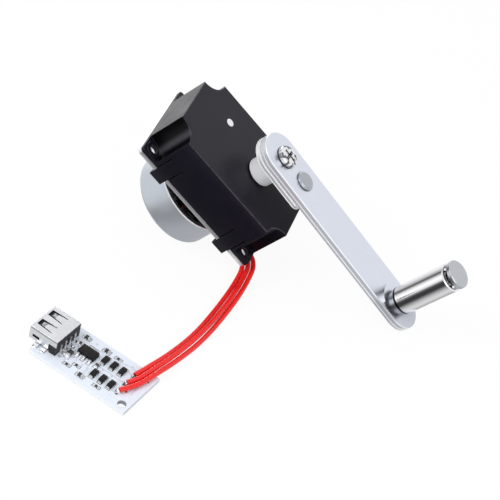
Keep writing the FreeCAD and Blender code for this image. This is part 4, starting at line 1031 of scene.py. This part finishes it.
# copper and print of the board: pads as (place, size), lines and tracks by their points
copperwork = {
    "tabPad": ((15.1, 14.75), (3.6, 2.1)),
    "pinPad": (9.0, (1.1, 1.7)),
    # width added around each pad for its rim of painted shade
    "shadeEdging": 0.34,
    "printWidth": 0.16,
    "printed": [
        ((8.9, 3.6), (8.9, 6.0)), ((12.6, 6.2), (12.6, 9.6)), ((30.4, 3.0), (33.8, 3.0)),
        ((30.4, 16.9), (33.8, 16.9)), ((19.2, 15.6), (29.6, 15.6)), ((19.9, 4.5), (30.3, 4.5)),
        ((19.9, 8.6), (30.3, 8.6)), ((19.2, 11.7), (29.6, 11.7)), ((9.0, 15.9), (12.6, 15.9)),
    ],
    "trackWidth": 0.7,
    "tracks": [
        [(32, 5.6), (30.6, 5.0), (28.6, 5.0)], [(32, 9.9), (30.2, 10.4), (21.7, 10.4), (21.0, 9.9)],
        [(32, 14.2), (29.9, 15.2), (27.9, 15.2)], [(9.2, 10.6), (11.2, 10.6), (12.7, 9.2)],
        [(9.2, 12.6), (10.6, 12.8), (11.4, 12.0)], [(18.8, 16.0), (16.6, 16.0)],
        [(17.5, 8.2), (18.8, 6.8), (18.8, 3.6)], [(12.7, 8.2), (11.0, 5.6), (11.0, 4.2)],
        [(23.6, 16.2), (27.2, 17.4), (33.6, 17.4), (35.6, 15.4), (35.6, 7.6)],
    ],
    "holes": {      # inner and outer radius
        (1.5, 1.62): [boardHole],
        (0.22, 0.5): [(9.0, 4.7), (9.1, 9.2), (9.2, 11.4), (8.6, 14.2)],
        (0.2, 0.42): [
            (13.9, 7.2), (16.4, 7.0), (19.9, 12.2), (22.7, 9.9), (26.4, 9.9), (29.4, 10.0),
            (33.9, 7.7), (33.9, 12.1), (36.6, 16.2), (29.0, 17.9), (14.4, 17.8),
        ],
    },
}


def padSpots():
    pinRow, pinSize = copperwork["pinPad"]
    spots = [((x, pinRow), pinSize) for x in regulatorLook["pins"]] + [copperwork["tabPad"]]
    sides = (-1, 1)
    for x, y in diodeLook["centres"]:
        spots += [((x, y + side * 1.75), (1.7, 1.0)) for side in sides]
    for (x, y), (long, wide, _) in capacitorLook:
        if wide > long:
            spots += [((x, y + side * wide * 0.5), (long * 1.2, wide * 0.4)) for side in sides]
        else:
            spots += [((x + side * long * 0.52, y), (long * 0.5, wide * 1.25)) for side in sides]
    for x, y in resistorLook["centres"]:
        spots += [((x + side * 0.95, y), (1.0, 1.15)) for side in sides]
    return spots


def makePads():
    pads, shadeEdging = bmesh.new(), bmesh.new()
    wider = copperwork["shadeEdging"]
    for (x, y), (long, wide) in padSpots():
        addBlock(pads, (x, y, boardTop - 0.01), (long, wide, 0.035), 0.012, steps=1)
        addBlock(shadeEdging, (x, y, boardTop - 0.01), (long + wider, wide + wider, 0.018))
    addPiece("pad_shade_edges", shadeEdging, "padShade")
    addPiece("tinned_pads", pads, "tinnedPad")


def makePrint():
    shape = bmesh.new()
    thin = copperwork["printWidth"]
    for (x0, y0), (x1, y1) in copperwork["printed"]:
        size = (max(abs(x1 - x0), thin), max(abs(y1 - y0), thin), 0.022)
        addBlock(shape, ((x0 + x1) / 2, (y0 + y1) / 2, boardTop - 0.01), size)
    addPiece("printed_lines", shape, "printedWhite")


def makeTracks():
    shape = bmesh.new()
    for track in copperwork["tracks"]:
        for start, end in zip(track, track[1:]):
            start, end = Vector(start), Vector(end)
            side = (end - start).orthogonal().normalized() * copperwork["trackWidth"] / 2
            corners = (start + side, start - side, end - side, end + side)
            shape.faces.new([shape.verts.new((*spot, boardTop + 0.012)) for spot in corners])
    addPiece("covered_tracks", shape, "trackResist")


def makePlatedHoles():
    shape = bmesh.new()
    for sizes, places in copperwork["holes"].items():
        through = min(sizes) > 1                    # the small ones are filled
        for x, y in places:
            inside, outside = [
                [shape.verts.new((x + out * size, y + over * size, boardTop + 0.02))
                 for out, over in circle(32 if through else 14)]
                for size in sizes
            ]
            joinRings(shape, [outside, inside])
            if not through:
                centre = shape.verts.new((x, y, boardTop + 0.008))
                for step, spot in enumerate(inside):
                    shape.faces.new((spot, inside[(step + 1) % len(inside)], centre))
    addPiece("plated_holes", shape, "tinnedPad")


padProfile = [
    (1.0, 0.0), (0.97, 0.12), (0.86, 0.42), (0.74, 0.8), (0.6, 1.12), (0.4, 1.36), (0.12, 1.48),
]
lugProfile = [(1.0, 0.0), (0.96, 0.12), (0.84, 0.3), (0.6, 0.47), (0.2, 0.56)]
solderLook = {      # places, half sizes and profile
    "wirePads": ([(32, 5.6), (32, 9.9), (32, 14.2)], (1.1, 1.1), padProfile),
    "pinFeet": ([(9.4, 6.6), (9.4, 9.1), (9.4, 11.1), (9.4, 13.6)], (0.85, 0.62), lugProfile),
    "lugs": (
        [(0.506, 2.05), (3.55, 2.05), (0.506, 18.15), (3.55, 18.15)], (0.92, 0.92), lugProfile),
}


def makeSolder():
    shape = bmesh.new()
    for places, size, profile in solderLook.values():
        for place in places:
            addMound(shape, place, size, profile)
    addPiece("solder_mounds", shape, "solderShine", "solder_joints", smooth=60)


fingerCurl = [(-1.3, 7.4), (-1.7, 7.24), (-2.2, 7.02), (-2.7, 6.74), (-3.05, 6.3)]


def makeFingerTips():  # the spring fingers' curled ends, down inside the socket, coloured black as painted shade
    shape = bmesh.new()
    for middle in socketLook["fingers"]:
        addStrip(shape, fingerCurl, 2.9, 0.16, (0, middle + 0.5, 0), across=1)
    addPiece("finger_tips", shape, "insulatorBlack")


makeFingerTips()
makeRegulator()
makeDiodes()
makeEndCapped("chip_capacitors", capacitorLook, "capacitorClay", "capacitors")
resistorChips = [(spot, resistorLook["body"]) for spot in resistorLook["centres"]]
makeEndCapped("chip_resistors", resistorChips, "resistorGlaze", "resistors")
makePads()
makePrint()
makeTracks()
makePlatedHoles()
makeSolder()
print("board populated")


studio = {
    "floorSize": 4,
    "floorLevel": -0.0001,
    "floorGlow": 0.92,
    "floorColour": 0.95,
    "worldLevel": 0.80,
    "key": {"place": (-0.45, -0.30, 0.62), "aim": (-0.01, 0.01, 0.02), "size": 0.5, "power": 2.0},
    "fill": {"place": (0.40, -0.45, 0.45), "aim": (0.0, 0.0, 0.02), "size": 0.6, "power": 0.6},
}

# cards that only polished surfaces see, as a studio hangs them beside metal: place, two corners
# in mm, and tone
inRow = Matrix.Scale(mm, 4)
cards = {
    "cupCard": (inRow, (-85, 9, 0.3), (-19, 36, 0.3), 0.66),
    "nearCupCard": (inRow, (-85, -30, 0.3), (-19, 9, 0.3), 0.42),
    "endCard": (inRow, (-200, 100, 0.4), (-95, 215, 0.4), 1.7),
    "wireCard": (inRow, (-380, 400, 100), (-120, 400, 180), 7.0),
    "wallCard": (machine, (-31, -24.6, 14.1), (33, -24.6, 31.8), 0.01),
    "rightCard": (machine, (33, -24.6, 14), (33, -2, 31.8), 0.01),
    "leftCard": (machine, (-33, -15.5, 14), (-33, -2, 31), 0.01),
    "armCard": (machine, (13, -13, 41), (48, 9, 41), 0.3),
}
# the sleeve's cards: degrees about it from the front down, and the tone from there on
sleeveFront = Vector((-0.308, -0.928, 0.214))
sleeveCards = {
    "near": {"out": 7.6, "along": (-18, 14), "tones": [
        (-85, 0.72), (-74, 0.60), (-67, 0.42), (-62, 0.24), (-57.5, 0.13), (-52.7, 0.22),
        (-48, 0.50), (-43, 0.80), (-38, 1.05), (-31, 1.25), (-21, 1),
    ]},
    "far": {"out": 13.5, "along": (-26, 10), "tones": [
        (-15, 0.75), (-11, 0.30), (-5, 0.13), (1, 0.05), (24, 0.12), (31, 0.27), (38, 0.42),
        (46, 0.58), (55, 0.72), (66, 0.80), (85, 0.70), (100, 0.50), (122, 0.54), (148, 0.60),
        (175, 1),
    ]},
}


def studioNodes(owner):  # an empty tree
    owner.use_nodes = True
    owner.node_tree.nodes.clear()
    return Nodes(owner.node_tree)


def showWhite(tree):  # 1 for camera, glossy and transmission rays
    rays = ["Is Camera Ray", "Is Glossy Ray", "Is Transmission Ray"]
    seen, glossy, through = tree.several("LightPath", rays)
    return seen.largest(glossy).largest(through)


def hangCard(name, rows, tone):
    mesh = bpy.data.meshes.new(name)
    faces = [(step, step + 1, step + 3, step + 2) for step in range(0, 2 * len(rows) - 2, 2)]
    mesh.from_pydata([spot for row in rows for spot in row], [], faces)
    material = bpy.data.materials.new(name)
    tree = studioNodes(material)
    glow = tree.node("Emission", None, {"Color": (1, 1, 1, 1), "Strength": tone})
    tree.node("OutputMaterial", None, {"Surface": glow})
    mesh.materials.append(material)
    card = addObject(name, mesh)
    for ray in ("camera", "diffuse", "shadow", "transmission"):
        setattr(card, f"visible_{ray}", False)


def flatCard(place, low, high):
    first, second = [axis for axis in range(3) if low[axis] != high[axis]]
    rows = []
    for near in (low, high):
        row = []
        for side in (low, high):
            spot = Vector(low)
            spot[first], spot[second] = near[first], side[second]
            row.append(tuple(place @ spot))
        rows.append(row)
    return rows


def roundCard(look, start, stop):
    under = rotorAxis.cross(sleeveFront)
    rows = []
    for step in range(5):
        angle = math.radians(start + (stop - start) * step / 4)
        out = (sleeveFront * math.cos(angle) + under * math.sin(angle)) * look["out"]
        rows.append([
            tuple(handleSpot + (rotorAxis * shift + out) * mm) for shift in look["along"]])
    return rows


def hangCards():
    for name, (*corners, tone) in cards.items():
        hangCard(name, flatCard(*corners), tone)
    for name, look in sleeveCards.items():
        tones = look["tones"]
        for (start, tone), (stop, _) in zip(tones, tones[1:]):
            hangCard(f"{name}Card", roundCard(look, start, stop), tone)


def layFloor():
    material = bpy.data.materials.new("studioFloor")
    tree = studioNodes(material)
    level = studio["floorColour"]
    matt = tree.node("BsdfDiffuse", None, {"Color": (level, level, level, 1)})
    share = showWhite(tree) * studio["floorGlow"]
    white = tree.node("Emission")
    both = tree.node("MixShader", None, {0: share, 1: matt, 2: white})
    tree.node("OutputMaterial", None, {"Surface": both})
    shape = bmesh.new()
    bmesh.ops.create_grid(shape, x_segments=2, y_segments=2, size=studio["floorSize"])
    ground = addObject("floor", meshOf("floor", shape, material))
    ground.location = (0, 0, studio["floorLevel"])


def lightWorld():
    world = bpy.data.worlds.new("studio")
    bpy.context.scene.world = world
    tree = studioNodes(world)
    plain, white = [
        tree.node("Background", None, {"Color": (1, 1, 1, 1), "Strength": level})
        for level in (studio["worldLevel"], 1)
    ]
    both = tree.node("MixShader", None, {0: showWhite(tree), 1: plain, 2: white})
    tree.node("OutputWorld", None, {"Surface": both})


def hangLamp(name):
    look = studio[name]
    made = bpy.data.lights.new(name, "AREA")
    made.shape = "DISK"
    made.size = look["size"]
    made.energy = look["power"]
    lamp = addObject(name, made)
    lamp.location = look["place"]
    aim = Vector(look["aim"]) - Vector(look["place"])
    lamp.rotation_euler = aim.to_track_quat("-Z", "Y").to_euler()


layFloor()
lightWorld()
hangLamp("key")
hangLamp("fill")
hangCards()
bpy.context.scene.view_settings.view_transform = "Standard"
print("studio lit")
